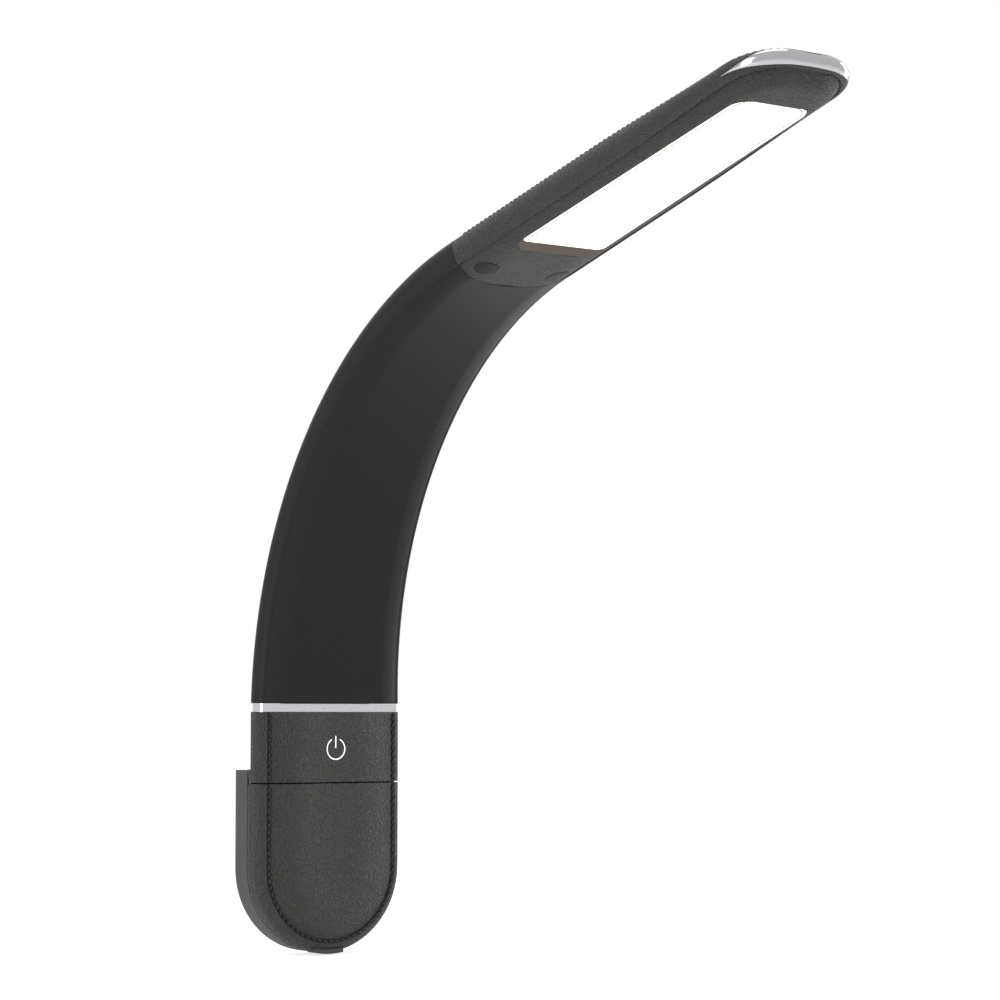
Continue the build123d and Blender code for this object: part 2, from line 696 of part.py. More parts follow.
def jaw_screws():
    """Screws that hold the jaw's plate, with their heads under its pad."""
    screws = []
    for x, z in both_sides(JAW_SCREWS):
        start = PAD_THICKNESS + CASE_SCREW_HEAD_HEIGHT
        head = rod_y(CASE_SCREW_HEAD, x, (PAD_THICKNESS, start), z)
        screws.append(head + rod_y(CASE_SCREW_SHANK, x, (start, start + CASE_SCREW_LENGTH), z))
    return screws


def hinge_pin():
    return rod_x(HINGE_PIN_RADIUS, (-HINGE_PIN_HALF, HINGE_PIN_HALF), HINGE_Y, HINGE_Z)


def clamp_spring():
    """Torsion spring: a coil round the pin with one leg on each jaw."""
    length = SPRING_TURNS * SPRING_PITCH
    coil = Helix(SPRING_PITCH, length, SPRING_COIL_RADIUS, lefthand=True)
    coil = Pos(-length / 2, HINGE_Y, HINGE_Z) * Rot(-90, 0, 0) * Rot(0, 90, 0) * coil
    first = Line(coil @ 0 - SPRING_LEG * (coil % 0), coil @ 0)
    last = Line(coil @ 1, coil @ 1 + SPRING_LEG * (coil % 1))
    path = Wire([first, coil, last])
    section = Plane(origin=path @ 0, z_dir=path % 0) * Circle(SPRING_WIRE / 2)
    return sweep(section, path=path)


def joint_stations():
    """Distances along the neck of its joints."""
    return [(index + 0.5) * LINK_LENGTH for index in range(NECK_JOINTS)]


def chord_plane(start, end):
    """Plane square to the chord between two points of the neck's curve, at the first point."""
    origin = neck_plane(start).origin
    return Plane(origin=origin, x_dir=(1, 0, 0), z_dir=neck_plane(end).origin - origin)


def chord_length(start, end):
    return (neck_plane(end).origin - neck_plane(start).origin).length


def link_plate(low_half, high_half, low, high):
    """Flat plate of a link, in its chord's own directions."""
    corners = [(-low_half, low), (low_half, low), (high_half, high), (-high_half, high)]
    face = make_face(Polyline(*corners, close=True))
    plate = extrude(Plane.XZ * face, amount=LINK_FRONT + LINK_BACK)
    return Pos(0, LINK_BACK, 0) * plate


def knuckle(limits, z, towards):
    """Round end of a plate at a joint, between two limits of X."""
    y = (-LINK_FRONT, LINK_BACK)
    root = z + towards * (LINK_END_GAP + FIT)
    return rod_x(LINK_KNUCKLE_RADIUS, limits, 0, z) + box_between(limits, y, (min(z, root), max(z, root)))


def ear_limits():
    inner = LINK_KNUCKLE_HALF + LINK_SIDE_GAP
    return [(-inner - LINK_EAR_WIDTH, -inner), (inner, inner + LINK_EAR_WIDTH)]


def with_ears(plate, z):
    """A plate with the two outer ears of a joint below it."""
    inner = LINK_KNUCKLE_HALF + LINK_SIDE_GAP
    plate -= rod_x(LINK_KNUCKLE_RADIUS + PLATE_CLEARANCE, (-inner, inner), 0, z)
    for limits in ear_limits():
        plate += knuckle(limits, z, 1)
    return plate - rod_x(LINK_PIN_RADIUS, (-FAR, FAR), 0, z)


def with_knuckle(plate, z):
    """A plate with the middle knuckle of a joint above it."""
    for limits in ear_limits():
        wide = (limits[0] - LINK_SIDE_GAP, limits[1] + LINK_SIDE_GAP)
        plate -= rod_x(LINK_KNUCKLE_RADIUS + PLATE_CLEARANCE, wide, 0, z)
    plate += knuckle((-LINK_KNUCKLE_HALF, LINK_KNUCKLE_HALF), z, -1)
    return plate - rod_x(LINK_PIN_RADIUS + RUNNING_FIT, (-FAR, FAR), 0, z)


def neck_foot():
    """Skeleton's lowest piece: a tongue screwed into the base, with the first knuckle."""
    station = joint_stations()[0]
    length = chord_length(0.0, station)
    halves = [half_width(along) - LINK_EDGE for along in (0.0, station)]
    plate = link_plate(*halves, PLATE_CLEARANCE, length - LINK_END_GAP)
    plate = Location(chord_plane(0.0, station)) * with_knuckle(plate, length)
    y = (CENTRE_PLANE - LINK_FRONT, CENTRE_PLANE + LINK_BACK)
    z = (NECK_FOOT - FOOT_DEPTH, NECK_FOOT + 2 * PLATE_CLEARANCE)
    foot = plate + box_between((-FOOT_HALF, FOOT_HALF), y, z)
    for x, height in both_sides([FOOT_SCREW]):
        foot -= rod_y(CASE_SCREW_SHANK, x, (-FAR, FAR), height)
    return foot


def neck_link(index):
    """Link of the skeleton between two neighbouring joints."""
    low, high = joint_stations()[index : index + 2]
    length = chord_length(low, high)
    halves = [half_width(along) - LINK_EDGE for along in (low, high)]
    plate = link_plate(*halves, LINK_END_GAP, length - LINK_END_GAP)
    for side in (-1, 1):
        plate -= rod_y(LINK_HOLE_RADIUS, side * LINK_HOLE_X, (-FAR, FAR), length / 2)
    plate = with_knuckle(with_ears(plate, 0.0), length)
    return Location(chord_plane(low, high)) * plate


def neck_pin(index):
    half = LINK_KNUCKLE_HALF + LINK_SIDE_GAP + LINK_EAR_WIDTH
    origin = neck_plane(joint_stations()[index]).origin
    return rod_x(LINK_PIN_RADIUS, (-half, half), origin.Y, origin.Z)


def head_anchor():
    """Skeleton's last piece, with two ears on the last joint and a tongue in the head."""
    station = joint_stations()[-1]
    length = chord_length(station, NECK_LENGTH)
    halves = [half_width(along) - LINK_EDGE for along in (station, NECK_LENGTH)]
    plate = link_plate(*halves, LINK_END_GAP, length - PLATE_CLEARANCE)
    plate = Location(chord_plane(station, NECK_LENGTH)) * with_ears(plate, 0.0)
    limits = (-2 * PLATE_CLEARANCE, ANCHOR_REACH)
    tongue = box_between((-ANCHOR_HALF, ANCHOR_HALF), (-LINK_FRONT, LINK_BACK), limits)
    for side in (-1, 1):
        tongue -= rod_y(HEAD_SCREW_SHANK, side * HEAD_SCREW_X, (-FAR, FAR), HEAD_SCREW_V)
    return plate + Location(head_frame()) * tongue


def section_loft(stations, face_at):
    """Solid through one section at each distance along the neck."""
    return loft([neck_plane(along) * face_at(half_width(along)) for along in stations])


def sleeve_part(start, end):
    """One length of the neck's soft skin."""
    stations = [start, (start + end) / 2, end]
    outer = section_loft(stations, lambda half: outline(half, SLEEVE_GROOVE_INSET))
    return outer - section_loft(stations, lambda half: cavity(half, SLEEVE_WALL))


def mouth_drum(grow):
    """Round-fronted zone in which the head's covers lie, in the head's directions."""
    middle = HEAD_MOUTH_RADIUS - HEAD_MOUTH_REACH
    drum = rod_y(HEAD_MOUTH_RADIUS + grow, 0, (-FAR, FAR), middle)
    return drum + box_between((-FAR, FAR), (-FAR, FAR), (middle, FAR))


def neck_sleeve(index):
    """Lengths of skin from one joint to the next; the last one runs under the head's covers."""
    ends = [0.0] + joint_stations() + [NECK_LENGTH]
    skin = sleeve_part(ends[index], ends[index + 1])
    if index < NECK_JOINTS:
        return skin
    ring = outline(HALF_HEAD, SLEEVE_GROOVE_INSET) - cavity(HALF_HEAD, SLEEVE_WALL)
    skin += Location(head_frame()) * extrude(ring, amount=HEAD_LAP)
    low = -2 * HEAD_MOUTH_REACH
    kept = Pos(0, 0, low) * extrude(cavity(HALF_HEAD, LAP_REBATE), amount=FAR)
    cut = (mouth_drum(FIT) & box_between((-FAR, FAR), (-FAR, FAR), (low, FAR))) - kept
    for side in (-1, 1):
        cut += rod_y(HEAD_SCREW_SHANK + FIT, side * HEAD_SCREW_X, (-FAR, 0), HEAD_SCREW_V)
    return skin - Location(head_frame()) * cut


def lead_faces():
    """Sections of the two wires, in the neck's own directions."""
    return [Pos(side * LEAD_SPACING / 2, -LEAD_OFFSET) * Circle(LEAD_RADIUS) for side in (-1, 1)]


def neck_lead(index):
    """Pair of wires from one joint to the next."""
    ends = [0.0] + joint_stations() + [NECK_LENGTH]
    start, end = ends[index : index + 2]
    axis = Axis((0, CENTRE_PLANE - BEND_RADIUS, NECK_FOOT), (1, 0, 0))
    wires = []
    for face in lead_faces():
        arc = math.degrees((end - start) / BEND_RADIUS)
        wire = revolve(neck_plane(start) * face, axis=axis, revolution_arc=arc)
        if index == 0:
            tail = NECK_FOOT - CONTROL_BOARD_MIDDLE - CONTROL_BOARD_SIZE[2] / 2
            wire += Pos(0, CENTRE_PLANE, NECK_FOOT - tail) * extrude(face, amount=tail)
        if index == NECK_JOINTS:
            wire += Location(head_frame()) * extrude(face, amount=CONNECTOR_START)
        wires.append(wire)
    return wires


def head_half(along):
    """Half the head's width at a distance along it, up to where its tip begins to turn."""
    return HALF_HEAD + (HEAD_TIP_WIDTH / 2 - HALF_HEAD) * along / HEAD_STRAIGHT


def head_edge(along):
    """Radius of the head's round side edge, which thins towards the tip."""
    share = (along - HEAD_THIN_START) / (HEAD_STRAIGHT - HEAD_THIN_START)
    share = min(max(share, 0.0), 1.0)
    return EDGE_RADIUS + (TIP_EDGE_RADIUS - EDGE_RADIUS) * share**2 * (3 - 2 * share)


def head_stations():
    """Distances along the head of the sections that shape it."""
    thin = [HEAD_THIN_START + (HEAD_STRAIGHT - HEAD_THIN_START) * index / 3 for index in range(4)]
    return [0.0, HEAD_THIN_START / 2] + thin


def head_blank(face_at, start):
    """A section carried along the head and round its tip, in the head's directions."""
    sections = [Pos(0, 0, along) * face_at(head_half(along), head_edge(along)) for along in head_stations()]
    body = loft(sections)
    if start < 0:
        body += extrude(face_at(HALF_HEAD, EDGE_RADIUS), amount=start)
    straight = HEAD_STRAIGHT
    face = face_at(head_half(straight), head_edge(straight))
    pivot = head_half(straight) - TIP_CORNER
    edge = face & Pos(pivot + FAR / 2, 0) * Rectangle(FAR, FAR)
    right = revolve(Pos(0, 0, straight) * edge, axis=Axis((pivot, 0, straight), (0, -1, 0)), revolution_arc=90)
    left = mirror(right, about=Plane.YZ)
    turned = Pos(pivot, 0, straight) * Rot(0, -90, 0) * Pos(-pivot, 0, 0) * edge
    middle = extrude(turned, amount=2 * pivot, dir=(-1, 0, 0))
    return body + right + left + middle


def strip_face(half, low, high):
    """Rectangular section between two levels."""
    return Pos(0, (low + high) / 2) * Rectangle(2 * half, high - low)


def head_wall():
    """Whole hollow wall of the head from its mouth to its tip."""
    start = -HEAD_MOUTH_REACH - FIT
    wall = head_blank(head_outline, start)
    wall -= head_blank(lambda half, edge: cavity(half, HEAD_WALL, edge), 2 * start)
    wall -= Pos(0, 0, 2 * start) * extrude(cavity(HALF_HEAD, LAP_WALL), amount=HEAD_LAP + GAP - 2 * start)
    return wall & mouth_drum(0.0)


def panel_zone(grow):
    """Zone inside the leather's lower edge, where the underside panel lies."""
    return head_blank(
        lambda half, edge: strip_face(half - HEAD_GROOVE_INSET + grow, -FAR, 0.0), -3 * HEAD_MOUTH_REACH
    )


def window_face(grow, start):
    """Outline of the light window, narrower towards the tip, as a face in X and Y."""
    end = WINDOW_END + grow
    slope = (WINDOW_HALF_START - WINDOW_HALF_END) / (WINDOW_END - WINDOW_START)
    halves = [WINDOW_HALF_START + grow - slope * (at - WINDOW_START) for at in (start, end)]
    corners = [(-halves[0], start), (halves[0], start), (halves[1], end), (-halves[1], end)]
    face = make_face(Polyline(*corners, close=True))
    face = fillet(face.vertices().group_by(Axis.Y)[0], WINDOW_CORNER_START + grow)
    return fillet(face.vertices().group_by(Axis.Y)[-1], WINDOW_CORNER_END + grow)


def window_prism(grow, y):
    """The window's outline carried between two levels."""
    face = Plane.XZ * window_face(grow, WINDOW_START - grow)
    return Pos(0, y[1], 0) * extrude(face, amount=y[1] - y[0])


def glass_front():
    return WINDOW_DEPTH - FRONT_RISE


def flange_front():
    return glass_front() + DIFFUSER_STEP


def window_ramp():
    """Sloping wall that leads from the underside down to the diffuser."""
    far = WINDOW_START + WINDOW_CORNER_START
    near = WINDOW_START - WINDOW_RAMP
    below = -2 * FRONT_RISE
    corners = [(near, -FRONT_RISE), (WINDOW_START, glass_front()), (far, glass_front()), (far, below), (near, below)]
    side = Plane(origin=(0, 0, 0), x_dir=(0, 0, 1), z_dir=(-1, 0, 0))
    wedge = extrude(side * make_face(Polyline(*corners, close=True)), amount=WINDOW_HALF_START, both=True)
    return wedge


def light_stack(grow, low, high):
    """Prism of the window's outline, a margin wider than the window."""
    return window_prism(DIFFUSER_MARGIN + grow, (low, high))


def box_back():
    return glass_front() + DIFFUSER_THICKNESS + LIGHT_BOX_DEPTH


def board_back():
    return box_back() + BOARD_THICKNESS


def head_underside():
    """Panel under the head with the window for the light and seats for the two caps."""
    panel = head_wall() & panel_zone(-FIT)
    panel -= window_prism(0.0, (-FAR, flange_front()))
    panel -= window_ramp()
    panel -= light_stack(FIT, flange_front() - FIT, FAR)
    for side in (-1, 1):
        x = side * HEAD_SCREW_X
        panel -= rod_y(CAP_RADIUS + FIT, x, (-FAR, cap_seat()), HEAD_SCREW_V)
        panel -= rod_y(HEAD_SCREW_SHANK + FIT, x, (-FAR, 0), HEAD_SCREW_V)
    return Location(head_frame()) * panel


def cap_seat():
    return CAP_SINK - FRONT_RISE


def screw_caps():
    """Two round caps over the screws at the root of the head."""
    caps = []
    for side in (-1, 1):
        cap = rod_y(CAP_RADIUS, side * HEAD_SCREW_X, (-FAR, cap_seat()), HEAD_SCREW_V)
        cap &= Pos(0, -CAP_SWELL, 0) * extrude(head_outline(HALF_HEAD, EDGE_RADIUS), amount=FAR)
        hollow = (cap_seat() - HEAD_SCREW_HEAD_HEIGHT - FIT, cap_seat())
        cap -= rod_y(HEAD_SCREW_HEAD + FIT, side * HEAD_SCREW_X, hollow, HEAD_SCREW_V)
        caps.append(Location(head_frame()) * cap)
    return caps


def head_screws():
    """Two screws that clamp the underside panel and the skin to the skeleton's last piece."""
    screws = []
    for side in (-1, 1):
        x = side * HEAD_SCREW_X
        head = rod_y(HEAD_SCREW_HEAD, x, (cap_seat() - HEAD_SCREW_HEAD_HEIGHT, cap_seat()), HEAD_SCREW_V)
        shank = rod_y(HEAD_SCREW_SHANK, x, (cap_seat(), LINK_BACK), HEAD_SCREW_V)
        screws.append(Location(head_frame()) * (head + shank))
    return screws


def board_screw_places():
    span = WINDOW_END - WINDOW_START
    return [WINDOW_START + span * (index + 0.5) / BOARD_SCREWS for index in range(BOARD_SCREWS)]


def trim_zone():
    """Crescent seen along the head, from one point through the tip to the other."""
    right = (TRIM_HALF, TRIM_END_LEVEL)
    left = (-TRIM_HALF, TRIM_END_LEVEL)
    edges = []
    for middle, slope in ((TRIM_LOW_LEVEL, -TRIM_LOW_SLOPE), (TRIM_HIGH_LEVEL, TRIM_HIGH_SLOPE)):
        shoulder = middle - slope
        edges.append(
            Spline(left, (-TRIM_SHOULDER, shoulder), (0, middle), (TRIM_SHOULDER, shoulder), right)
        )
    return Pos(0, 0, HEAD_STRAIGHT) * extrude(make_face(edges), amount=FAR)


def trim_body():
    inner = head_blank(lambda half, edge: cavity(half, TRIM_DEPTH, edge), -GAP)
    flat = head_blank(lambda half, edge: strip_face(half - edge, -FAR, FAR), -GAP)
    return ((head_blank(head_outline, 0.0) - inner) & trim_zone()) - flat


def tip_trim():
    """Bright crescent let into the head's tip."""
    return Location(head_frame()) * trim_body()


def head_top_shell():
    """Leather-covered back and sides of the head, with bosses for the light's board."""
    shell = head_wall() - panel_zone(0.0) - trim_body()
    for along in board_screw_places():
        inner_back = head_edge(along) - HEAD_WALL
        shell += rod_y(BOARD_BOSS_RADIUS, 0, (board_back() + SPREADER_THICKNESS, inner_back + FIT), along)
        shell -= rod_y(BOARD_SCREW_SHANK, 0, (0, board_screw_end(along)), along)
    return Location(head_frame()) * shell


def board_screw_end(along):
    return head_edge(along) - HEAD_WALL / 2


def board_screws():
    """Screws through the light's board and back plate into the head's shell."""
    screws = []
    for along in board_screw_places():
        head = rod_y(BOARD_SCREW_HEAD, 0, (box_back() - BOARD_SCREW_HEAD_HEIGHT, box_back()), along)
        shank = rod_y(BOARD_SCREW_SHANK, 0, (box_back(), board_screw_end(along)), along)
        screws.append(Location(head_frame()) * (head + shank))
    return screws


def diffuser():
    """Stepped plate that fills the window, with a thinner flange behind its rim."""
    front = glass_front()
    plate = window_prism(-FIT, (front, front + DIFFUSER_THICKNESS))
    plate += light_stack(0.0, flange_front(), front + DIFFUSER_THICKNESS)
    return Location(head_frame()) * plate


def light_box():
    """White frame between the diffuser and the board."""
    front = glass_front() + DIFFUSER_THICKNESS
    frame = light_stack(0.0, front, box_back()) - light_stack(-LIGHT_BOX_WALL, front, box_back())
    return Location(head_frame()) * frame


def led_board():
    """Board of the light chips, with the connector that the wires end at."""
    board = light_stack(0.0, box_back(), board_back())
    half = CONNECTOR_HALF
    board += box_between((-half, half), (box_back(), board_back()), (CONNECTOR_START, WINDOW_START))
    front = -LEAD_OFFSET - LEAD_RADIUS
    limits = (CONNECTOR_START, CONNECTOR_START + CONNECTOR_LENGTH)
    board += box_between((-half, half), (front, box_back() + FIT), limits)
    for along in board_screw_places():
        board -= rod_y(BOARD_SCREW_SHANK, 0, (-FAR, FAR), along)
    return Location(head_frame()) * board


def led_chips():
    """Rows of light chips on the front of the board."""
    span = WINDOW_END - WINDOW_START
    chips = []
    for side in (-1, 1):
        for column in range(LED_COLUMNS):
            along = WINDOW_START + span * (column + 0.5) / LED_COLUMNS
            chip = box_between(
                (side * LED_ROW_X - LED_WIDTH / 2, side * LED_ROW_X + LED_WIDTH / 2),
                (box_back() - LED_HEIGHT, box_back()),
                (along - LED_LENGTH / 2, along + LED_LENGTH / 2),
            )
            chips.append(Location(head_frame()) * chip)
    return chips


def heat_spreader():
    plate = light_stack(0.0, board_back(), board_back() + SPREADER_THICKNESS)
    for along in board_screw_places():
        plate -= rod_y(BOARD_SCREW_SHANK, 0, (-FAR, FAR), along)
    return Location(head_frame()) * plate


def all_parts():
    parts = {
        "rear_housing": rear_housing(),
        "upper_cover": upper_cover(),
        "lower_cover": lower_cover(),
        "neck_ring": neck_ring(),
        "power_icon": power_icon(),
        "control_board": control_board(),
        "board_parts": board_parts(),
        "charge_board": charge_board(),
        "charge_socket": charge_socket(),
        "battery_cell": battery_cell(),
        "fixed_pad": fixed_pad(),
        "case_screws": case_screws(),
        "port_cover": port_cover(),
        "jaw_shell": jaw_shell(),
        "jaw_plate": jaw_plate(),
        "jaw_pad": jaw_pad(),
        "jaw_screws": jaw_screws(),
        "hinge_pin": hinge_pin(),
        "clamp_spring": clamp_spring(),
        "neck_foot": neck_foot(),
        "head_anchor": head_anchor(),
        "head_screws": head_screws(),
        "screw_caps": screw_caps(),
        "head_top_shell": head_top_shell(),
        "head_underside": head_underside(),
        "tip_trim": tip_trim(),
        "diffuser": diffuser(),
        "light_box": light_box(),
        "led_board": led_board(),
        "led_chips": led_chips(),
        "heat_spreader": heat_spreader(),
        "board_screws": board_screws(),
    }
    for index in range(NECK_JOINTS - 1):
        parts[f"neck_link_{index + 1}"] = neck_link(index)
    for index in range(NECK_JOINTS):
        parts[f"neck_pin_{index + 1}"] = neck_pin(index)
    for index in range(NECK_JOINTS + 1):
        parts[f"neck_sleeve_{index + 1}"] = neck_sleeve(index)
        parts[f"neck_lead_{index + 1}"] = neck_lead(index)
    return parts


os.makedirs("parts", exist_ok=True)
for name, shape in all_parts().items():
    if isinstance(shape, list):
        shape = Compound(children=shape)
    export_step(shape, f"parts/{name}.step")
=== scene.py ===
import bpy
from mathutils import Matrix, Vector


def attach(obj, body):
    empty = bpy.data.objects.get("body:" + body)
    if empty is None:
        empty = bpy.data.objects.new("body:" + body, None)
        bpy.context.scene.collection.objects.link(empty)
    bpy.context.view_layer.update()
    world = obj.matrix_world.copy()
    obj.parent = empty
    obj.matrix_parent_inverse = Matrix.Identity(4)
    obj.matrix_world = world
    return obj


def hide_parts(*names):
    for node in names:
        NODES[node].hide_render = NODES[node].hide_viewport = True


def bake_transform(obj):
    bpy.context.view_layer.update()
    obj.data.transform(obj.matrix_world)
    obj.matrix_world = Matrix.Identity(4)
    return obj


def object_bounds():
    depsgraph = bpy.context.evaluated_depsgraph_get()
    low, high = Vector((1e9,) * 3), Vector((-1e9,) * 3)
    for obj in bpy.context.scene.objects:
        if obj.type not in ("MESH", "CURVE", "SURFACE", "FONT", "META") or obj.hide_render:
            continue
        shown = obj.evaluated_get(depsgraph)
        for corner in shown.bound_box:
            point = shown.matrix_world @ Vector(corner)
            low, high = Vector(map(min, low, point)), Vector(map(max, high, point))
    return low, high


bl_info = {
    "name": "Clip-on reading lamp",
    "version": (1, 0, 0),
    "blender": (4, 5, 0),
    "location": "View3D > Sidebar > Lamp",
    "description": "Dresses the frame of a clip-on reading lamp with a bending neck",
    "category": "Object",
}

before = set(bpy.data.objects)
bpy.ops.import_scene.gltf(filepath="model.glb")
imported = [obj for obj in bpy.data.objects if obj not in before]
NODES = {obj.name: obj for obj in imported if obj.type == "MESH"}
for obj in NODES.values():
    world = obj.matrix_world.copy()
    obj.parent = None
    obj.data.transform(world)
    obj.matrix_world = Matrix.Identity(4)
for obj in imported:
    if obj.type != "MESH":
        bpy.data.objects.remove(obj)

import math

import bmesh
import bpy
from bpy.props import FloatProperty, FloatVectorProperty, IntProperty, PointerProperty
from mathutils import Vector

CAD_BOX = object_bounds()
MM = 0.001

# Lines of the lamp that the dressing follows, in millimetres in the frame's directions
CENTRE_PLANE = -3.2
NECK_FOOT = 61.0
BEND_RADIUS = 149.5
NECK_LENGTH = 196.2
NECK_JOINTS = 6
HALF_BASE = 30.0
HALF_HEAD = 24.95
EDGE_RADIUS = 4.75
FRONT_RISE = 6.9
SHOULDER_INSET = 10.0
SHOULDER_DROP = 0.4
ROUND_END_CENTRE = 3.6
HALF_TIP = 22.35
TIP_EDGE_RADIUS = 2.9
THIN_START = 70.0
HEAD_LENGTH = 154.2
TIP_CORNER = 16.75
HEAD_STRAIGHT = HEAD_LENGTH - TIP_CORNER
MOUTH_RADIUS = 44.0
MOUTH_REACH = 4.75
WINDOW_START = 27.3
WINDOW_END = 136.3
WINDOW_HALF_START = 16.2
WINDOW_HALF_END = 14.1
WINDOW_CORNERS = (2.5, 6.5)
WINDOW_LEVEL = -6.0
RAMP_START = 22.3

# Outline across the neck, as distances in from its side edge and heights, in millimetres: the crease, how far each
# of its points is drawn in, and the rise to the front
CREASE = [(2.15, -4.05), (2.5, -4.18), (2.85, -4.25), (3.2, -4.33), (3.6, -4.45)]
CREASE_DRAW = [0.75, 1.0, 1.0, 0.7, 0.35]
RISE = [(4.2, -4.68), (5.0, -5.0), (6.1, -5.41), (7.2, -5.77), (8.3, -6.08), (9.4, -6.35)]

# The skin's closed ends, as share of a length and how far each ring is shrunk, in millimetres
FOOT_RINGS = ((0.004, 1.2), (0.004, 0.35), (0.008, 0.12))
FOOT_SHARE = 0.016
MOUTH_SHRINK = 0.7

# Sewn edges, in millimetres
BASE_SEAM_INSET = 4.2
BASE_SEAM_LEVEL = CENTRE_PLANE - 4.42
UPPER_SEAM_ENDS = (57.4, 34.3)
LOWER_SEAM_TOP = 32.4
HEAD_SEAM_INSET = 2.95
HEAD_SEAM_START = 3.6
HEAD_SEAM_GAP = 15
STITCH_PROUD = 0.1 * MM

# Dots and lip of the light window, in millimetres
DOT_INSET = 1.35
DOT_PROUD = 0.06
LIP_SIDE_GAP = 0.1
LIP_START_GAP = 0.15
LIP_CORNER_START = 12.8
LIP_CORNER_SLOPE = 1.05
LIP_PROUD = 0.04

# Light given off, and the room
SYMBOL_GLOW = 0.7
DIFFUSER_GLOW = 1.18
CHIP_GLOW = 0.4
FLOOR_GLOW = 0.74
ROOM_LIGHT = 0.36
FLOOR_DROP = 0.0005
LAMPS = (
    ("key", (-1.15, -0.62, 0.5), (0, -0.08, 0.12), (0.4, 1.2), 13),
    ("side", (1.1, -0.12, 0.3), (0, -0.05, 0.1), (0.3, 1.0), 6),
    ("top", (0.1, 0.2, 1.1), (0, -0.1, 0.1), (0.9, 0.9), 5),
)
CAMERA_PLACE = (-0.55109, -0.87170, 0.05643)
CAMERA_TURN = (94.30, 0.0, -35.85)
CAMERA_LENS = 103.85


class LampSizes(bpy.types.PropertyGroup):
    """Sizes of the details that dress the lamp"""

    crease_depth: FloatProperty(
        name="Neck crease depth", description="How far the neck's soft crease is drawn in",
        default=0.25 * MM, subtype="DISTANCE", unit="LENGTH")
    skin_rings: IntProperty(
        name="Rings of each length of skin", description="Rows of faces along each length of the neck's skin",
        default=24, min=4)
    base_stitch_pitch: FloatProperty(
        name="Base stitch pitch", description="Distance from one stitch of the base to the next",
        default=2.4 * MM, subtype="DISTANCE", unit="LENGTH")
    head_stitch_pitch: FloatProperty(
        name="Head stitch pitch", description="Distance from one stitch of the head to the next",
        default=2.3 * MM, subtype="DISTANCE", unit="LENGTH")
    base_thread_radius: FloatProperty(
        name="Base thread radius", description="Radius of the sewing thread on the base",
        default=0.45 * MM, subtype="DISTANCE", unit="LENGTH")
    head_thread_radius: FloatProperty(
        name="Head thread radius", description="Radius of the sewing thread on the head",
        default=0.3 * MM, subtype="DISTANCE", unit="LENGTH")
    base_pebble: FloatProperty(
        name="Grain size on the base", description="Size of one pebble of the leather's grain on the base",
        default=0.8 * MM, subtype="DISTANCE", unit="LENGTH")
    head_pebble: FloatProperty(
        name="Grain size on the head", description="Size of one pebble of the leather's grain on the head",
        default=0.55 * MM, subtype="DISTANCE", unit="LENGTH")


class LampColours(bpy.types.PropertyGroup):
    """Colours of the lamp's finishes"""

    leather: FloatVectorProperty(
        name="Leather", description="Colour of the leather's pebbles", subtype="COLOR", size=3,
        default=(0.052, 0.050, 0.047), min=0, max=1)
    crevice: FloatVectorProperty(
        name="Leather crevices", description="Colour between the leather's pebbles", subtype="COLOR", size=3,
        default=(0.043, 0.0415, 0.039), min=0, max=1)
    skin: FloatVectorProperty(
        name="Neck skin", description="Colour of the neck's soft skin", subtype="COLOR", size=3,
        default=(0.025, 0.0245, 0.0240), min=0, max=1)
    jaw: FloatVectorProperty(
        name="Jaw", description="Colour of the jaw and the back of the base", subtype="COLOR", size=3,
        default=(0.040, 0.0388, 0.0394), min=0, max=1)
    thread: FloatVectorProperty(
        name="Thread", description="Colour of the sewing thread", subtype="COLOR", size=3,
        default=(0.003, 0.003, 0.003), min=0, max=1)
    light: FloatVectorProperty(
        name="Light", description="Colour of the lit diffuser", subtype="COLOR", size=3,
        default=(1.0, 0.96, 0.90), min=0, max=1)


def neck_frame(along):
    """Place on the neck in metres at a distance from its foot, with the directions to its back and on along it."""
    arc = min(along, NECK_LENGTH)
    turn = arc / BEND_RADIUS
    onward = Vector((0, -math.sin(turn), math.cos(turn)))
    place = Vector((0, CENTRE_PLANE - BEND_RADIUS * (1 - math.cos(turn)), NECK_FOOT + BEND_RADIUS * math.sin(turn)))
    place += onward * (along - arc)
    back = Vector((0, math.cos(turn), math.sin(turn)))
    return place * MM, back, onward


def head_point(x, y, v):
    """Point of the head from its own directions in millimetres."""
    place, back, onward = neck_frame(NECK_LENGTH)
    return place + (Vector((x, 0, 0)) + back * y + onward * v) * MM


def half_width(along):
    """Half the neck's width at a distance from its foot."""
    return HALF_BASE + (HALF_HEAD - HALF_BASE) * min(max(along, 0.0), NECK_LENGTH) / NECK_LENGTH


def head_half(v):
    """Half the head's width at a distance along it."""
    return HALF_HEAD + (HALF_TIP - HALF_HEAD) * min(max(v, 0.0), HEAD_STRAIGHT) / HEAD_STRAIGHT


def head_edge(v):
    """Radius of the head's round side edge, which thins towards the tip."""
    share = min(max((v - THIN_START) / (HEAD_STRAIGHT - THIN_START), 0.0), 1.0)
    return EDGE_RADIUS + (TIP_EDGE_RADIUS - EDGE_RADIUS) * share**2 * (3 - 2 * share)


def half_section(half, depth):
    """Right half of the outline across the neck, from the middle of the back to the middle of the front."""
    side = half - EDGE_RADIUS
    points = [(side * i / 8, EDGE_RADIUS) for i in range(8)]
    for i in range(15):
        angle = math.radians(90 - 142 * i / 14)
        points.append((side + EDGE_RADIUS * math.cos(angle), EDGE_RADIUS * math.sin(angle)))
    points += [(half - inset, y + depth * share) for (inset, y), share in zip(CREASE, CREASE_DRAW)]
    points += [(half - inset, y) for inset, y in RISE]
    shoulder = half - SHOULDER_INSET
    for i in range(9):
        x = shoulder * (1 - i / 8)
        points.append((x, SHOULDER_DROP * (x / shoulder) ** 2 - FRONT_RISE))
    return points


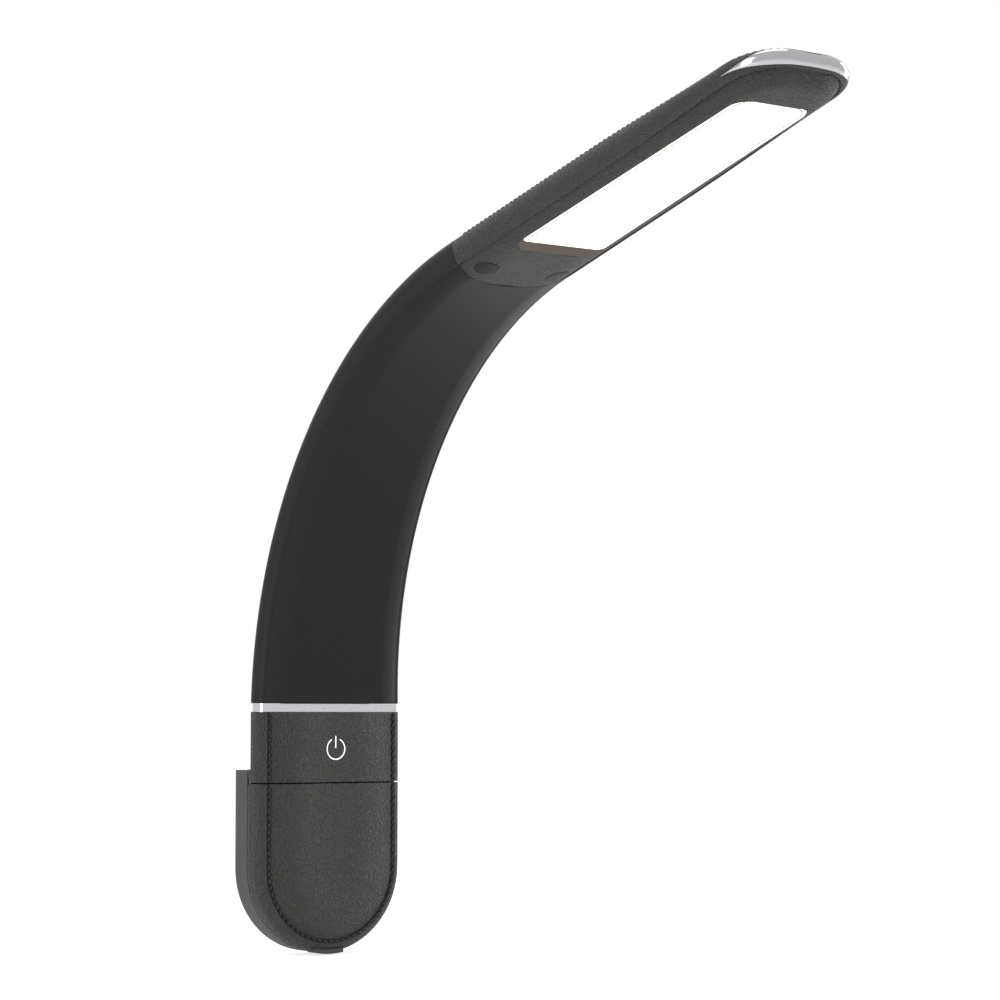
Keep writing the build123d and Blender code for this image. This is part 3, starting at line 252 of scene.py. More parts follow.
def closed_section(half, depth):
    """Whole outline across the neck."""
    right = half_section(half, depth)
    left = [(-x, y) for x, y in right[-2:0:-1]]
    return right + left


def finished_mesh(name, verts, faces):
    """Object with smooth faces from points in metres."""
    mesh = bpy.data.meshes.new(name)
    mesh.from_pydata(verts, [], faces)
    mesh.validate()
    mesh.shade_smooth()
    piece = bpy.data.objects.new(name, mesh)
    bpy.context.scene.collection.objects.link(piece)
    return piece


def ring_faces(rows, count):
    """Faces between neighbouring rings that each have the same count of points."""
    faces = []
    for row in range(rows - 1):
        for i in range(count):
            j = (i + 1) % count
            faces.append((row * count + i, row * count + j, (row + 1) * count + j, (row + 1) * count + i))
    return faces


def mouth_line(x):
    """Where the head's covers begin, along the head, at a distance across it."""
    middle = MOUTH_RADIUS - MOUTH_REACH
    return middle - math.sqrt(MOUTH_RADIUS**2 - min(abs(x), HALF_HEAD) ** 2)


def skin_length(index, sizes):
    """One length of the neck's skin, with the joint in its middle."""
    step = NECK_LENGTH / NECK_JOINTS
    start = index * step
    depth = sizes.crease_depth / MM
    rings = sizes.skin_rings
    verts = []

    def add_ring(share, shrink):
        for x, y in closed_section(half_width(start + share * step), depth):
            along = start + share * step
            if index == NECK_JOINTS - 1:
                along = start + share * (step + mouth_line(x))
            place, back, _ = neck_frame(along)
            reach = math.hypot(x, y)
            keep = (reach - shrink) / reach
            verts.append(place + (Vector((x * keep, 0, 0)) + back * y * keep) * MM)

    rows = 0
    if index == 0:
        for share, shrink in FOOT_RINGS:
            add_ring(share, shrink)
            rows += 1
    for i in range(rings + 1):
        share = i / rings
        if index == 0:
            share = FOOT_SHARE + (1 - FOOT_SHARE) * share
        add_ring(share, 0)
        rows += 1
    if index == NECK_JOINTS - 1:
        add_ring(1.0, MOUTH_SHRINK)
        rows += 1
    count = len(closed_section(HALF_BASE, depth))
    return finished_mesh(f"neck_skin_{index + 1}", verts, ring_faces(rows, count))


def thread_run(name, places, length, radius, arch, slant):
    """Row of stitches: each a short bent length of thread at a place with its directions."""
    verts, faces = [], []
    rings, sides = 7, 8
    for place, along, out in places:
        across = along.cross(out)
        first = len(verts)
        for i in range(rings):
            u = i / (rings - 1)
            swell = radius * (0.35 + 0.65 * math.sin(math.pi * (0.1 + 0.8 * u)) ** 0.6)
            middle = place + along * (u - 0.5) * length + across * (u - 0.5) * slant
            middle += out * (arch * math.sin(math.pi * u) - 0.6 * arch)
            for j in range(sides):
                angle = 2 * math.pi * j / sides
                verts.append(middle + (out * math.cos(angle) + across * math.sin(angle)) * swell)
        for i in range(rings - 1):
            for j in range(sides):
                a, b = first + i * sides + j, first + i * sides + (j + 1) % sides
                faces.append((a, a + sides, b + sides, b))
        faces.append(tuple(first + j for j in range(sides)))
        faces.append(tuple(first + (rings - 1) * sides + j for j in reversed(range(sides))))
    return finished_mesh(name, verts, faces)


def spaced(points, pitch):
    """Points and directions at an even pitch along a line of points."""
    lengths = [(b - a).length for a, b in zip(points, points[1:])]
    total = sum(lengths)
    count = max(int(total / pitch), 1)
    found = []
    for k in range(count):
        reach = (k + 0.5) * total / count
        i = 0
        while reach > lengths[i] and i < len(lengths) - 1:
            reach -= lengths[i]
            i += 1
        direction = (points[i + 1] - points[i]).normalized()
        found.append((points[i] + direction * reach, direction))
    return found


def base_seams():
    """Lines of the base's two sewn edges and of the edge round its lower end, in millimetres, as X and Z."""
    x = HALF_BASE - BASE_SEAM_INSET
    upper = [[(side * x, z) for z in UPPER_SEAM_ENDS] for side in (-1, 1)]
    lower = [(-x, LOWER_SEAM_TOP), (-x, ROUND_END_CENTRE)]
    half_turn = [math.pi * i / 64 for i in range(1, 64)]
    lower += [(-x * math.cos(a), ROUND_END_CENTRE - x * math.sin(a)) for a in half_turn]
    lower += [(x, ROUND_END_CENTRE), (x, LOWER_SEAM_TOP)]
    return upper + [lower]


def stitch_base(sizes):
    """Stitches along the base's sewn edges."""
    places = []
    for line in base_seams():
        points = [Vector((x, BASE_SEAM_LEVEL, z)) * MM for x, z in line]
        for place, along in spaced(points, sizes.base_stitch_pitch):
            centre = Vector((0, BASE_SEAM_LEVEL, max(place.z / MM, ROUND_END_CENTRE))) * MM
            outward = (place - centre).normalized()
            out = (outward * 0.35 + Vector((0, -1, 0))).normalized()
            out = (out - along * out.dot(along)).normalized()
            if place.z >= ROUND_END_CENTRE * MM and place.x > 0 and along.z < 0:
                along = -along
            places.append((place + out * STITCH_PROUD, along, out))
    return thread_run("base_stitches", places, 1.9 * MM, sizes.base_thread_radius, arch=0.3 * MM, slant=0.6 * MM)


def head_seam():
    """Line of the head's sewn edge on its top, in the head's directions."""
    pivot, radius = HALF_TIP - TIP_CORNER, TIP_CORNER - HEAD_SEAM_INSET
    side = [HEAD_STRAIGHT * i / 24 for i in range(25)]
    line = [(-head_half(v) + HEAD_SEAM_INSET, v) for v in side]
    quarter = [math.pi * i / 48 for i in range(1, 25)]
    line += [(-pivot - radius * math.cos(a), HEAD_STRAIGHT + radius * math.sin(a)) for a in quarter]
    line += [(-x, v) for x, v in reversed(line[1:])]
    return [(x, v) for x, v in line if v > HEAD_SEAM_START or abs(x) < HEAD_SEAM_GAP]


def seam_level(v):
    """Height of the head's sewn edge above its middle plane."""
    edge = head_edge(v)
    return math.sqrt(edge**2 - max(edge - HEAD_SEAM_INSET, 0.0) ** 2)


def stitch_head(sizes):
    """Stitches along the head's sewn edge."""
    points = [head_point(x, seam_level(v), v) for x, v in head_seam()]
    _, back, _ = neck_frame(NECK_LENGTH)
    places = []
    for place, along in spaced(points, sizes.head_stitch_pitch):
        outward = back.cross(along)
        if outward.x * place.x < 0:
            outward = -outward
        out = (back * 0.95 + outward * 0.3).normalized()
        places.append((place + out * STITCH_PROUD, along, out))
    return thread_run("head_stitches", places, 1.8 * MM, sizes.head_thread_radius, arch=0.12 * MM, slant=0.0)


def window_line(grow, steps):
    """Outline of the light window in the head's directions, as X and V."""
    start, end = WINDOW_START - grow, WINDOW_END + grow
    slope = (WINDOW_HALF_START - WINDOW_HALF_END) / (WINDOW_END - WINDOW_START)
    wide = WINDOW_HALF_START + grow + slope * grow
    narrow = WINDOW_HALF_END + grow - slope * grow
    first, last = (radius + grow for radius in WINDOW_CORNERS)
    corners = [(-wide, start, first), (wide, start, first), (narrow, end, last), (-narrow, end, last)]
    line = []
    turns = [math.pi, 1.5 * math.pi, 0.0, 0.5 * math.pi]
    for (x, v, r), turn in zip(corners, turns):
        cx = x - math.copysign(r, x)
        cv = v + r if v < WINDOW_END / 2 else v - r
        for i in range(steps + 1):
            angle = turn + 0.5 * math.pi * i / steps
            line.append((cx + r * math.cos(angle), cv + r * math.sin(angle)))
    return line


def window_dots():
    """Row of small dots moulded round the light window, just inside its edge."""
    line = window_line(-DOT_INSET, 8)
    points = [head_point(x, WINDOW_LEVEL - DOT_PROUD, v) for x, v in line + line[:1]]
    _, back, _ = neck_frame(NECK_LENGTH)
    places = [(place, along, -back) for place, along in spaced(points, 0.95 * MM)]
    return thread_run("window_dots", places, 0.55 * MM, 0.22 * MM, arch=0.0, slant=0.0)


def window_lip():
    """Thin brown lining of the slope that leads down to the light window."""
    rows, columns = 7, 33
    slope = (WINDOW_LEVEL + FRONT_RISE) / (WINDOW_START - RAMP_START)
    verts = []
    for i in range(columns):
        x = (WINDOW_HALF_START - LIP_SIDE_GAP) * (2 * i / (columns - 1) - 1)
        low = RAMP_START + LIP_START_GAP + LIP_CORNER_SLOPE * max(abs(x) - LIP_CORNER_START, 0.0)
        for j in range(rows):
            v = low + (WINDOW_START - low) * j / (rows - 1)
            verts.append(head_point(x, slope * (v - RAMP_START) - FRONT_RISE - LIP_PROUD, v))
    faces = []
    for i in range(columns - 1):
        for j in range(rows - 1):
            first = i * rows + j
            faces.append((first, first + 1, first + rows + 1, first + rows))
    return finished_mesh("window_lip", verts, faces)


# Materials


def shader_group(name, inputs, outputs):
    """Empty node group with named sockets, and its inner input and output nodes."""
    tree = bpy.data.node_groups.new(name, "ShaderNodeTree")
    for socket, kind, value in inputs:
        made = tree.interface.new_socket(name=socket, in_out="INPUT", socket_type=kind)
        made.default_value = value
    for socket, kind in outputs:
        tree.interface.new_socket(name=socket, in_out="OUTPUT", socket_type=kind)
    return tree, tree.nodes.new("NodeGroupInput"), tree.nodes.new("NodeGroupOutput")


def math_node(tree, operation, first, second):
    """Result of an operation on two values, each a number or a socket."""
    node = tree.nodes.new("ShaderNodeMath")
    node.operation = operation
    for socket, value in zip(node.inputs, (first, second)):
        if isinstance(value, (int, float)):
            socket.default_value = value
        else:
            tree.links.new(value, socket)
    return node.outputs[0]


def blend_node(tree, factor, first, second):
    """Mix of two colours, each of three numbers or a socket, by a factor from a socket."""
    node = tree.nodes.new("ShaderNodeMix")
    node.data_type = "RGBA"
    tree.links.new(factor, node.inputs["Factor"])
    for socket, value in zip(node.inputs[6:8], (first, second)):
        if isinstance(value, tuple):
            socket.default_value = (*value, 1.0)
        else:
            tree.links.new(value, socket)
    return node.outputs[2]


def spread(tree, value, low, high, to_low, to_high):
    """Value carried from one range to another with soft ends."""
    node = tree.nodes.new("ShaderNodeMapRange")
    node.interpolation_type = "SMOOTHSTEP"
    tree.links.new(value, node.inputs["Value"])
    for socket, number in zip(node.inputs[1:5], (low, high, to_low, to_high)):
        socket.default_value = number
    return node.outputs["Result"]


def noise_node(tree, vector, scale, detail, roughness=0.5):
    """Noise on a vector."""
    node = tree.nodes.new("ShaderNodeTexNoise")
    node.inputs["Scale"].default_value = scale
    node.inputs["Detail"].default_value = detail
    node.inputs["Roughness"].default_value = roughness
    tree.links.new(vector, node.inputs["Vector"])
    return node


def scale_node(tree, vector, factor):
    """A vector or colour scaled by a value."""
    node = tree.nodes.new("ShaderNodeVectorMath")
    node.operation = "SCALE"
    tree.links.new(vector, node.inputs[0])
    tree.links.new(factor, node.inputs["Scale"])
    return node.outputs[0]


def leather_group():
    """Pebbled grain of leather: colour, roughness and height."""
    inputs = [
        ("Pebble Size", "NodeSocketFloat", 0.001),
        ("Pebble Colour", "NodeSocketColor", (0.05, 0.05, 0.05, 1)),
        ("Crevice Colour", "NodeSocketColor", (0.04, 0.04, 0.04, 1)),
    ]
    outputs = [("Colour", "NodeSocketColor"), ("Roughness", "NodeSocketFloat"), ("Height", "NodeSocketFloat")]
    tree, given, result = shader_group("leather_grain", inputs, outputs)
    coordinates = tree.nodes.new("ShaderNodeTexCoord").outputs["Object"]
    per_size = math_node(tree, "DIVIDE", 1.0, given.outputs["Pebble Size"])
    scaled = scale_node(tree, coordinates, per_size)
    bend = noise_node(tree, scaled, 0.7, 2)
    bent = tree.nodes.new("ShaderNodeVectorMath")
    bent.operation = "MULTIPLY_ADD"
    tree.links.new(bend.outputs["Color"], bent.inputs[0])
    bent.inputs[1].default_value = (1.6, 1.6, 1.6)
    tree.links.new(scaled, bent.inputs[2])
    cells = tree.nodes.new("ShaderNodeTexVoronoi")
    cells.feature = "SMOOTH_F1"
    cells.inputs["Scale"].default_value = 0.8
    cells.inputs["Smoothness"].default_value = 0.7
    tree.links.new(bent.outputs[0], cells.inputs["Vector"])
    pebble = spread(tree, cells.outputs["Distance"], 0.1, 0.7, 1.0, 0.0)
    wrinkles = noise_node(tree, scaled, 0.85, 4, 0.55)
    pores = noise_node(tree, scaled, 3.5, 2, 0.6)
    patches = noise_node(tree, scaled, 0.08, 3, 0.55)
    height = math_node(tree, "ADD", math_node(tree, "MULTIPLY", pebble, 0.55), wrinkles.outputs["Fac"])
    height = math_node(tree, "ADD", height, math_node(tree, "MULTIPLY", pores.outputs["Fac"], 0.25))
    tree.links.new(height, result.inputs["Height"])
    crest = spread(tree, height, 0.65, 1.35, 0.0, 1.0)
    worn = spread(tree, patches.outputs["Fac"], 0.35, 0.7, 0.95, 1.04)
    tint = blend_node(tree, crest, given.outputs["Crevice Colour"], given.outputs["Pebble Colour"])
    tree.links.new(scale_node(tree, tint, worn), result.inputs["Colour"])
    tree.links.new(spread(tree, height, 0.6, 1.5, 0.64, 0.4), result.inputs["Roughness"])
    return tree


def texture_group():
    """Fine moulded or brushed texture: a mask of fine grain, a mask of soft patches, and a height."""
    inputs = [("Grain Size", "NodeSocketFloat", 0.0004), ("Stretch", "NodeSocketFloat", 1.0)]
    outputs = [("Grain", "NodeSocketFloat"), ("Patches", "NodeSocketFloat"), ("Height", "NodeSocketFloat")]
    tree, given, result = shader_group("fine_texture", inputs, outputs)
    coordinates = tree.nodes.new("ShaderNodeTexCoord").outputs["Object"]
    parts = tree.nodes.new("ShaderNodeSeparateXYZ")
    tree.links.new(coordinates, parts.inputs[0])
    joined = tree.nodes.new("ShaderNodeCombineXYZ")
    tree.links.new(math_node(tree, "DIVIDE", parts.outputs["X"], given.outputs["Stretch"]), joined.inputs["X"])
    tree.links.new(parts.outputs["Y"], joined.inputs["Y"])
    tree.links.new(parts.outputs["Z"], joined.inputs["Z"])
    scaled = scale_node(tree, joined.outputs[0], math_node(tree, "DIVIDE", 1.0, given.outputs["Grain Size"]))
    grain = noise_node(tree, scaled, 1.0, 3, 0.6)
    patches = noise_node(tree, coordinates, 28.0, 4, 0.6)
    tree.links.new(spread(tree, grain.outputs["Fac"], 0.3, 0.7, 0.0, 1.0), result.inputs["Grain"])
    tree.links.new(spread(tree, patches.outputs["Fac"], 0.35, 0.65, 0.0, 1.0), result.inputs["Patches"])
    tree.links.new(grain.outputs["Fac"], result.inputs["Height"])
    return tree


def new_material(name):
    """Material with one shader on its output."""
    material = bpy.data.materials.new(name)
    material.use_nodes = True
    tree = material.node_tree
    tree.nodes.clear()
    output = tree.nodes.new("ShaderNodeOutputMaterial")
    shader = tree.nodes.new("ShaderNodeBsdfPrincipled")
    tree.links.new(shader.outputs["BSDF"], output.inputs["Surface"])
    return material, tree, shader


def add_bump(tree, shader, height, distance):
    """Relief from a height, on the shader's normal."""
    bump = tree.nodes.new("ShaderNodeBump")
    bump.inputs["Distance"].default_value = distance
    tree.links.new(height, bump.inputs["Height"])
    tree.links.new(bump.outputs["Normal"], shader.inputs["Normal"])


def placed_group(tree, name, values):
    """A shared effect placed in a material, with its inputs set."""
    node = tree.nodes.new("ShaderNodeGroup")
    node.node_tree = bpy.data.node_groups[name]
    for socket, value in values.items():
        node.inputs[socket].default_value = value
    return node


def leather_material(name, pebble, depth, colours, painted_shade_scale):
    """Grained leather, its colours scaled by a factor; a factor below 1 paints shade over the whole leather."""
    material, tree, shader = new_material(name)
    values = {
        "Pebble Size": pebble,
        "Pebble Colour": (*scaled_colour(colours.leather, painted_shade_scale), 1),
        "Crevice Colour": (*scaled_colour(colours.crevice, painted_shade_scale), 1),
    }
    grain = placed_group(tree, "leather_grain", values)
    tree.links.new(grain.outputs["Colour"], shader.inputs["Base Color"])
    tree.links.new(grain.outputs["Roughness"], shader.inputs["Roughness"])
    shader.inputs["Specular IOR Level"].default_value = 0.42
    add_bump(tree, shader, grain.outputs["Height"], depth)
    return material


def textured_material(name, first, second, rough, grain_size, depth, metallic=0.0, stretch=1.0, gloss=0.5):
    """Finish whose colour and roughness change a little with its fine texture."""
    material, tree, shader = new_material(name)
    texture = placed_group(tree, "fine_texture", {"Grain Size": grain_size, "Stretch": stretch})
    tint = blend_node(tree, texture.outputs["Grain"], tuple(first), tuple(second))
    tree.links.new(tint, shader.inputs["Base Color"])
    low, high = rough
    wear = math_node(tree, "MULTIPLY_ADD", texture.outputs["Patches"], 0.5 * (high - low))
    wear.node.inputs[2].default_value = low
    fine = math_node(tree, "MULTIPLY_ADD", texture.outputs["Grain"], 0.5 * (high - low))
    tree.links.new(wear, fine.node.inputs[2])
    tree.links.new(fine, shader.inputs["Roughness"])
    shader.inputs["Metallic"].default_value = metallic
    shader.inputs["Specular IOR Level"].default_value = gloss
    add_bump(tree, shader, texture.outputs["Height"], depth)
    return material


def scaled_colour(colour, factor):
    """A colour scaled by a factor, no brighter than white."""
    return tuple(min(c * factor, 1.0) for c in colour)


def lit_material(name, colour, strength):
    """Lit plastic: an even glow with a faint grain."""
    material, tree, shader = new_material(name)
    texture = placed_group(tree, "fine_texture", {"Grain Size": 0.0011})
    tint = blend_node(tree, texture.outputs["Grain"], tuple(colour), scaled_colour(colour, 0.97))
    tree.links.new(tint, shader.inputs["Emission Color"])
    tree.links.new(tint, shader.inputs["Base Color"])
    shader.inputs["Emission Strength"].default_value = strength
    shader.inputs["Roughness"].default_value = 0.5
    add_bump(tree, shader, texture.outputs["Height"], 0.00001)
    return material


def board_material(name):
    """Coated circuit board with tracks under its coat."""
    material, tree, shader = new_material(name)
    coordinates = tree.nodes.new("ShaderNodeTexCoord").outputs["Object"]
    tracks = tree.nodes.new("ShaderNodeTexBrick")
    tracks.inputs["Scale"].default_value = 260
    tracks.inputs["Color1"].default_value = (0.02, 0.12, 0.05, 1)
    tracks.inputs["Color2"].default_value = (0.015, 0.09, 0.04, 1)
    tracks.inputs["Mortar"].default_value = (0.04, 0.2, 0.09, 1)
    tree.links.new(coordinates, tracks.inputs["Vector"])
    tree.links.new(tracks.outputs["Color"], shader.inputs["Base Color"])
    shader.inputs["Roughness"].default_value = 0.35
    add_bump(tree, shader, tracks.outputs["Fac"], 0.00003)
    return material


def assign(material, *names):
    """The material alone on each named frame node or piece."""
    for name in names:
        piece = NODES.get(name) or bpy.data.objects[name]
        piece.data.materials.clear()
        piece.data.materials.append(material)


def numbered(stem, count):
    """Names of a row of nodes, counted from 1."""
    return [f"{stem}_{i + 1}" for i in range(count)]


def settings(context):
    """The sizes and colours set on the scene."""
    return context.scene.lamp_sizes, context.scene.lamp_colours


class LAMP_OT_groups(bpy.types.Operator):
    """Build the shared surface effects"""

    bl_idname = "lamp.groups"
    bl_label = "Surface effects"

    def execute(self, context):
        leather_group()
        texture_group()
        return {"FINISHED"}


class LAMP_OT_skin(bpy.types.Operator):
    """Build the neck's soft skin, one length over each joint"""

    bl_idname = "lamp.skin"
    bl_label = "Neck skin"

    def execute(self, context):
        sizes, colours = settings(context)
        skin = textured_material(
            "neck_skin", scaled_colour(colours.skin, 0.92), scaled_colour(colours.skin, 1.1),
            (0.36, 0.48), 0.0005, 0.000004, gloss=0.06)
        step = NECK_LENGTH / NECK_JOINTS
        for index in range(NECK_JOINTS):
            piece = skin_length(index, sizes)
            piece.data.materials.append(skin)
            start, _, _ = neck_frame(index * step)
            end, _, _ = neck_frame((index + 1) * step)
            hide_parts(*(["neck_sleeve_1"] if index == 0 else []), f"neck_sleeve_{index + 2}")
            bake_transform(piece)
        assign(skin, *numbered("neck_sleeve", NECK_JOINTS + 1))
        return {"FINISHED"}


class LAMP_OT_base(bpy.types.Operator):
    """Dress the base: leather, sewn edges, switch symbol, ring and charging flap"""

    bl_idname = "lamp.base"
    bl_label = "Base"

    def execute(self, context):
        sizes, colours = settings(context)
        leather = leather_material("base_leather", sizes.base_pebble, 0.0014, colours, 1.0)
        assign(leather, "upper_cover", "lower_cover", "rear_housing")
        thread = textured_material(
            "thread", colours.thread, scaled_colour(colours.thread, 2.5), (0.5, 0.8), 0.00025, 0.00004)
        stitches = stitch_base(sizes)
        assign(thread, stitches.name)
        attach(stitches, "base")
        chrome = textured_material(
            "bright_plating", (0.53, 0.53, 0.55), (0.57, 0.57, 0.59), (0.06, 0.16), 0.0006, 0.000001, metallic=1.0)
        assign(chrome, "neck_ring")
        assign(lit_material("switch_symbol", (0.95, 0.95, 0.95), SYMBOL_GLOW), "power_icon")
        flap = textured_material(
            "flap_rubber", scaled_colour(colours.leather, 0.8), colours.leather, (0.6, 0.8), 0.0005, 0.00003)
        assign(flap, "port_cover")
        return {"FINISHED"}


class LAMP_OT_jaw(bpy.types.Operator):
    """Dress the sprung jaw and the two rubber pads"""

    bl_idname = "lamp.jaw"
    bl_label = "Jaw"

    def execute(self, context):
        _, colours = settings(context)
        shell = textured_material(
            "jaw_plastic", scaled_colour(colours.jaw, 0.85), scaled_colour(colours.jaw, 1.08),
            (0.5, 0.68), 0.0007, 0.00005)
        assign(shell, "jaw_shell", "jaw_plate")
        rubber = textured_material(
            "grip_rubber", (0.012, 0.012, 0.012), (0.02, 0.02, 0.02), (0.7, 0.9), 0.0004, 0.00004)
        assign(rubber, "fixed_pad", "jaw_pad")
        return {"FINISHED"}


class LAMP_OT_head(bpy.types.Operator):
    """Dress the head: leather, sewn edge, caps, light window and its rim"""

    bl_idname = "lamp.head"
    bl_label = "Head"

    def execute(self, context):
        sizes, colours = settings(context)
        # Head leather: the base leather's colours painted darker (0.84), a painted shade for the head's shaded
        # sides; only its finer grain is its own
        leather = leather_material("head_leather_painted_shade", sizes.head_pebble, 0.0010, colours, 0.84)
        assign(leather, "head_top_shell", "head_underside")
        stitches = stitch_head(sizes)
        assign(bpy.data.materials["thread"], stitches.name)
        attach(stitches, "head")
        cap = textured_material(
            "cap_rubber", scaled_colour(colours.skin, 0.35), scaled_colour(colours.skin, 0.45),
            (0.5, 0.65), 0.0005, 0.00001, gloss=0.2)
        assign(cap, "screw_caps")
        assign(lit_material("lit_diffuser", colours.light, DIFFUSER_GLOW), "diffuser")
        # Tip trim: the ring's plating painted darker, a painted shade standing in for the darker reflections the
        # crescent shows
        plating = textured_material(
            "tip_plating_painted_shade", (0.40, 0.40, 0.415), (0.43, 0.43, 0.445), (0.08, 0.16), 0.0006, 0.000001, metallic=1.0)
        assign(plating, "tip_trim")
        dotted = textured_material(
            "window_dots", (0.20, 0.13, 0.08), (0.26, 0.18, 0.12), (0.4, 0.6), 0.0004, 0.00001)
        lining = textured_material(
            "window_lip", (0.060, 0.043, 0.030), (0.078, 0.056, 0.040), (0.5, 0.7), 0.0005, 0.00003)
        for piece, finish in ((window_dots(), dotted), (window_lip(), lining)):
            assign(finish, piece.name)
            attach(piece, "head")
        return {"FINISHED"}


class LAMP_OT_inside(bpy.types.Operator):
    """Finish the pieces inside the lamp"""

    bl_idname = "lamp.inside"
    bl_label = "Inner pieces"

    def execute(self, context):
        cast = textured_material(
            "cast_metal", (0.5, 0.5, 0.52), (0.62, 0.62, 0.64), (0.35, 0.55), 0.0008, 0.00003, metallic=1.0)
        assign(cast, "neck_foot", "head_anchor", *numbered("neck_link", NECK_JOINTS - 1))
        rolled = textured_material(
            "rolled_metal", (0.68, 0.68, 0.69), (0.78, 0.78, 0.79), (0.25, 0.45), 0.0003, 0.000006,
            metallic=1.0, stretch=12.0)
        assign(rolled, "heat_spreader")
        steel = textured_material(
            "turned_steel", (0.45, 0.45, 0.47), (0.58, 0.58, 0.6), (0.2, 0.35), 0.0004, 0.000004,
            metallic=1.0, stretch=6.0)
        assign(steel, "hinge_pin", "clamp_spring", "case_screws", "jaw_screws", "head_screws", "board_screws",
               "charge_socket", *numbered("neck_pin", NECK_JOINTS))
        white = textured_material(
            "reflector_white", (0.86, 0.86, 0.85), (0.9, 0.9, 0.89), (0.5, 0.65), 0.0006, 0.00002)
        assign(white, "light_box")
        assign(board_material("coated_board"), "led_board", "control_board", "charge_board")
        chips = textured_material(
            "moulded_chips", (0.015, 0.015, 0.016), (0.03, 0.03, 0.031), (0.4, 0.6), 0.0003, 0.00002)
        assign(chips, "board_parts")
        assign(lit_material("light_chips", (0.95, 0.8, 0.35), CHIP_GLOW), "led_chips")
        foil = textured_material(
            "battery_foil", (0.6, 0.6, 0.62), (0.7, 0.7, 0.72), (0.3, 0.5), 0.0015, 0.00006, metallic=1.0)
        assign(foil, "battery_cell")
        wire = textured_material(
            "wire_cover", (0.3, 0.015, 0.012), (0.4, 0.02, 0.016), (0.35, 0.5), 0.0004, 0.00001)
        assign(wire, *numbered("neck_lead", NECK_JOINTS + 1))
        return {"FINISHED"}


def seen_directly(tree):
    """1 to the camera, in reflections and through clear things, and 0 to the light that falls on the lamp."""
    rays = tree.nodes.new("ShaderNodeLightPath")
    seen = math_node(tree, "MAXIMUM", rays.outputs["Is Camera Ray"], rays.outputs["Is Glossy Ray"])
    return math_node(tree, "MAXIMUM", seen, rays.outputs["Is Transmission Ray"])


def floor_material():
    """Pale floor that keeps the lamp's shadow and shows white to the camera."""
    material = bpy.data.materials.new("pale_floor")
    material.use_nodes = True
    tree = material.node_tree
    tree.nodes.clear()
    output = tree.nodes.new("ShaderNodeOutputMaterial")
    matt = tree.nodes.new("ShaderNodeBsdfDiffuse")
    matt.inputs["Color"].default_value = (0.8, 0.8, 0.8, 1)
    glow = tree.nodes.new("ShaderNodeEmission")
    tree.links.new(math_node(tree, "MULTIPLY", seen_directly(tree), FLOOR_GLOW), glow.inputs["Strength"])
    both = tree.nodes.new("ShaderNodeAddShader")
    tree.links.new(matt.outputs[0], both.inputs[0])
    tree.links.new(glow.outputs[0], both.inputs[1])
    tree.links.new(both.outputs[0], output.inputs["Surface"])
    return material


def studio_world():
    """White room to the camera and to reflections, and a soft even light on the lamp."""
    world = bpy.data.worlds.new("studio")
    bpy.context.scene.world = world
    world.use_nodes = True
    tree = world.node_tree
    tree.nodes.clear()
    output = tree.nodes.new("ShaderNodeOutputWorld")
    sky = tree.nodes.new("ShaderNodeBackground")
    sky.inputs["Color"].default_value = (1, 1, 1, 1)
    tree.links.new(spread(tree, seen_directly(tree), 0.0, 1.0, ROOM_LIGHT, 1.0), sky.inputs["Strength"])
    tree.links.new(sky.outputs[0], output.inputs["Surface"])


def soft_lamp(name, place, target, size, power):
    """Wide soft light that faces a target."""
    data = bpy.data.lights.new(name, "AREA")
    data.shape = "RECTANGLE"
    data.size, data.size_y = size
    data.energy = power
    lamp = bpy.data.objects.new(name, data)
    lamp.location = place
    lamp.rotation_euler = (Vector(target) - Vector(place)).to_track_quat("-Z", "Y").to_euler()
    bpy.context.scene.collection.objects.link(lamp)


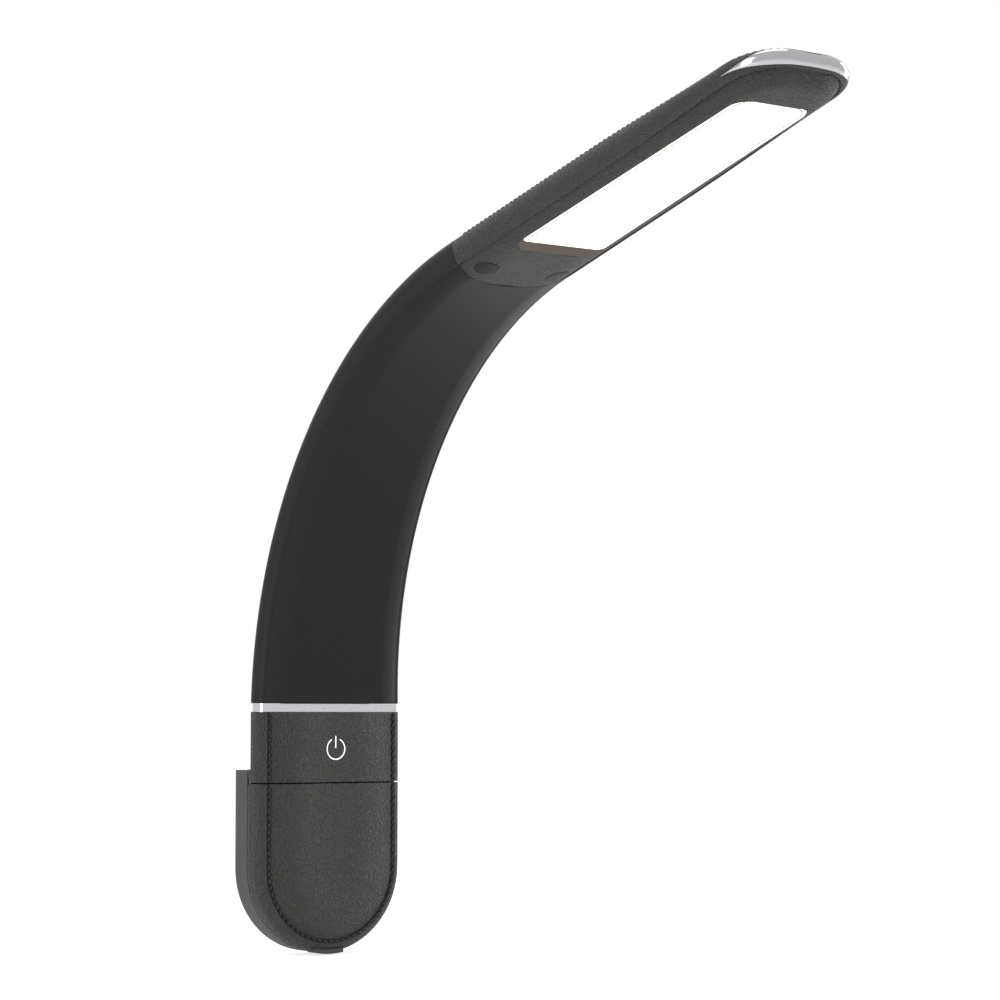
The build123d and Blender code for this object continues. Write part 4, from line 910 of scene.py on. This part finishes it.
class LAMP_OT_stage(bpy.types.Operator):
    """Lay the floor, hang the lights and set up the camera"""

    bl_idname = "lamp.stage"
    bl_label = "Stage"

    def execute(self, context):
        scene = context.scene
        scene.view_settings.view_transform = "Standard"
        low, _ = CAD_BOX
        mesh = bpy.data.meshes.new("floor")
        build = bmesh.new()
        bmesh.ops.create_grid(build, x_segments=8, y_segments=8, size=6.0)
        build.to_mesh(mesh)
        build.free()
        floor = bpy.data.objects.new("floor", mesh)
        floor.location.z = low[2] - FLOOR_DROP
        scene.collection.objects.link(floor)
        mesh.materials.append(floor_material())
        studio_world()
        for lamp in LAMPS:
            soft_lamp(*lamp)
        data = bpy.data.cameras.new("camera")
        data.sensor_width = 36.0
        data.lens = CAMERA_LENS
        data.clip_start = 0.01
        camera = bpy.data.objects.new("camera", data)
        camera.location = CAMERA_PLACE
        camera.rotation_euler = [math.radians(angle) for angle in CAMERA_TURN]
        scene.collection.objects.link(camera)
        scene.camera = camera
        return {"FINISHED"}


class LAMP_PT_panel(bpy.types.Panel):
    """Lists the steps that dress the lamp"""

    bl_idname = "LAMP_PT_panel"
    bl_label = "Reading lamp"
    bl_space_type = "VIEW_3D"
    bl_region_type = "UI"
    bl_category = "Lamp"

    def draw(self, context):
        for operator in STEPS:
            self.layout.operator(operator.bl_idname, text=operator.bl_label)
        for group in (context.scene.lamp_sizes, context.scene.lamp_colours):
            for name in group.__annotations__:
                self.layout.prop(group, name)


STEPS = (LAMP_OT_groups, LAMP_OT_skin, LAMP_OT_base, LAMP_OT_jaw, LAMP_OT_head, LAMP_OT_inside, LAMP_OT_stage)
CLASSES = (LampSizes, LampColours, *STEPS, LAMP_PT_panel)


def register():
    for item in CLASSES:
        bpy.utils.register_class(item)
    bpy.types.Scene.lamp_sizes = PointerProperty(type=LampSizes)
    bpy.types.Scene.lamp_colours = PointerProperty(type=LampColours)


def unregister():
    del bpy.types.Scene.lamp_sizes
    del bpy.types.Scene.lamp_colours
    for item in reversed(CLASSES):
        bpy.utils.unregister_class(item)


def main():
    register()
    bpy.ops.lamp.groups()
    bpy.ops.lamp.skin()
    bpy.ops.lamp.base()
    bpy.ops.lamp.jaw()
    bpy.ops.lamp.head()
    bpy.ops.lamp.inside()
    bpy.ops.lamp.stage()


if __name__ == "__main__":
    main()
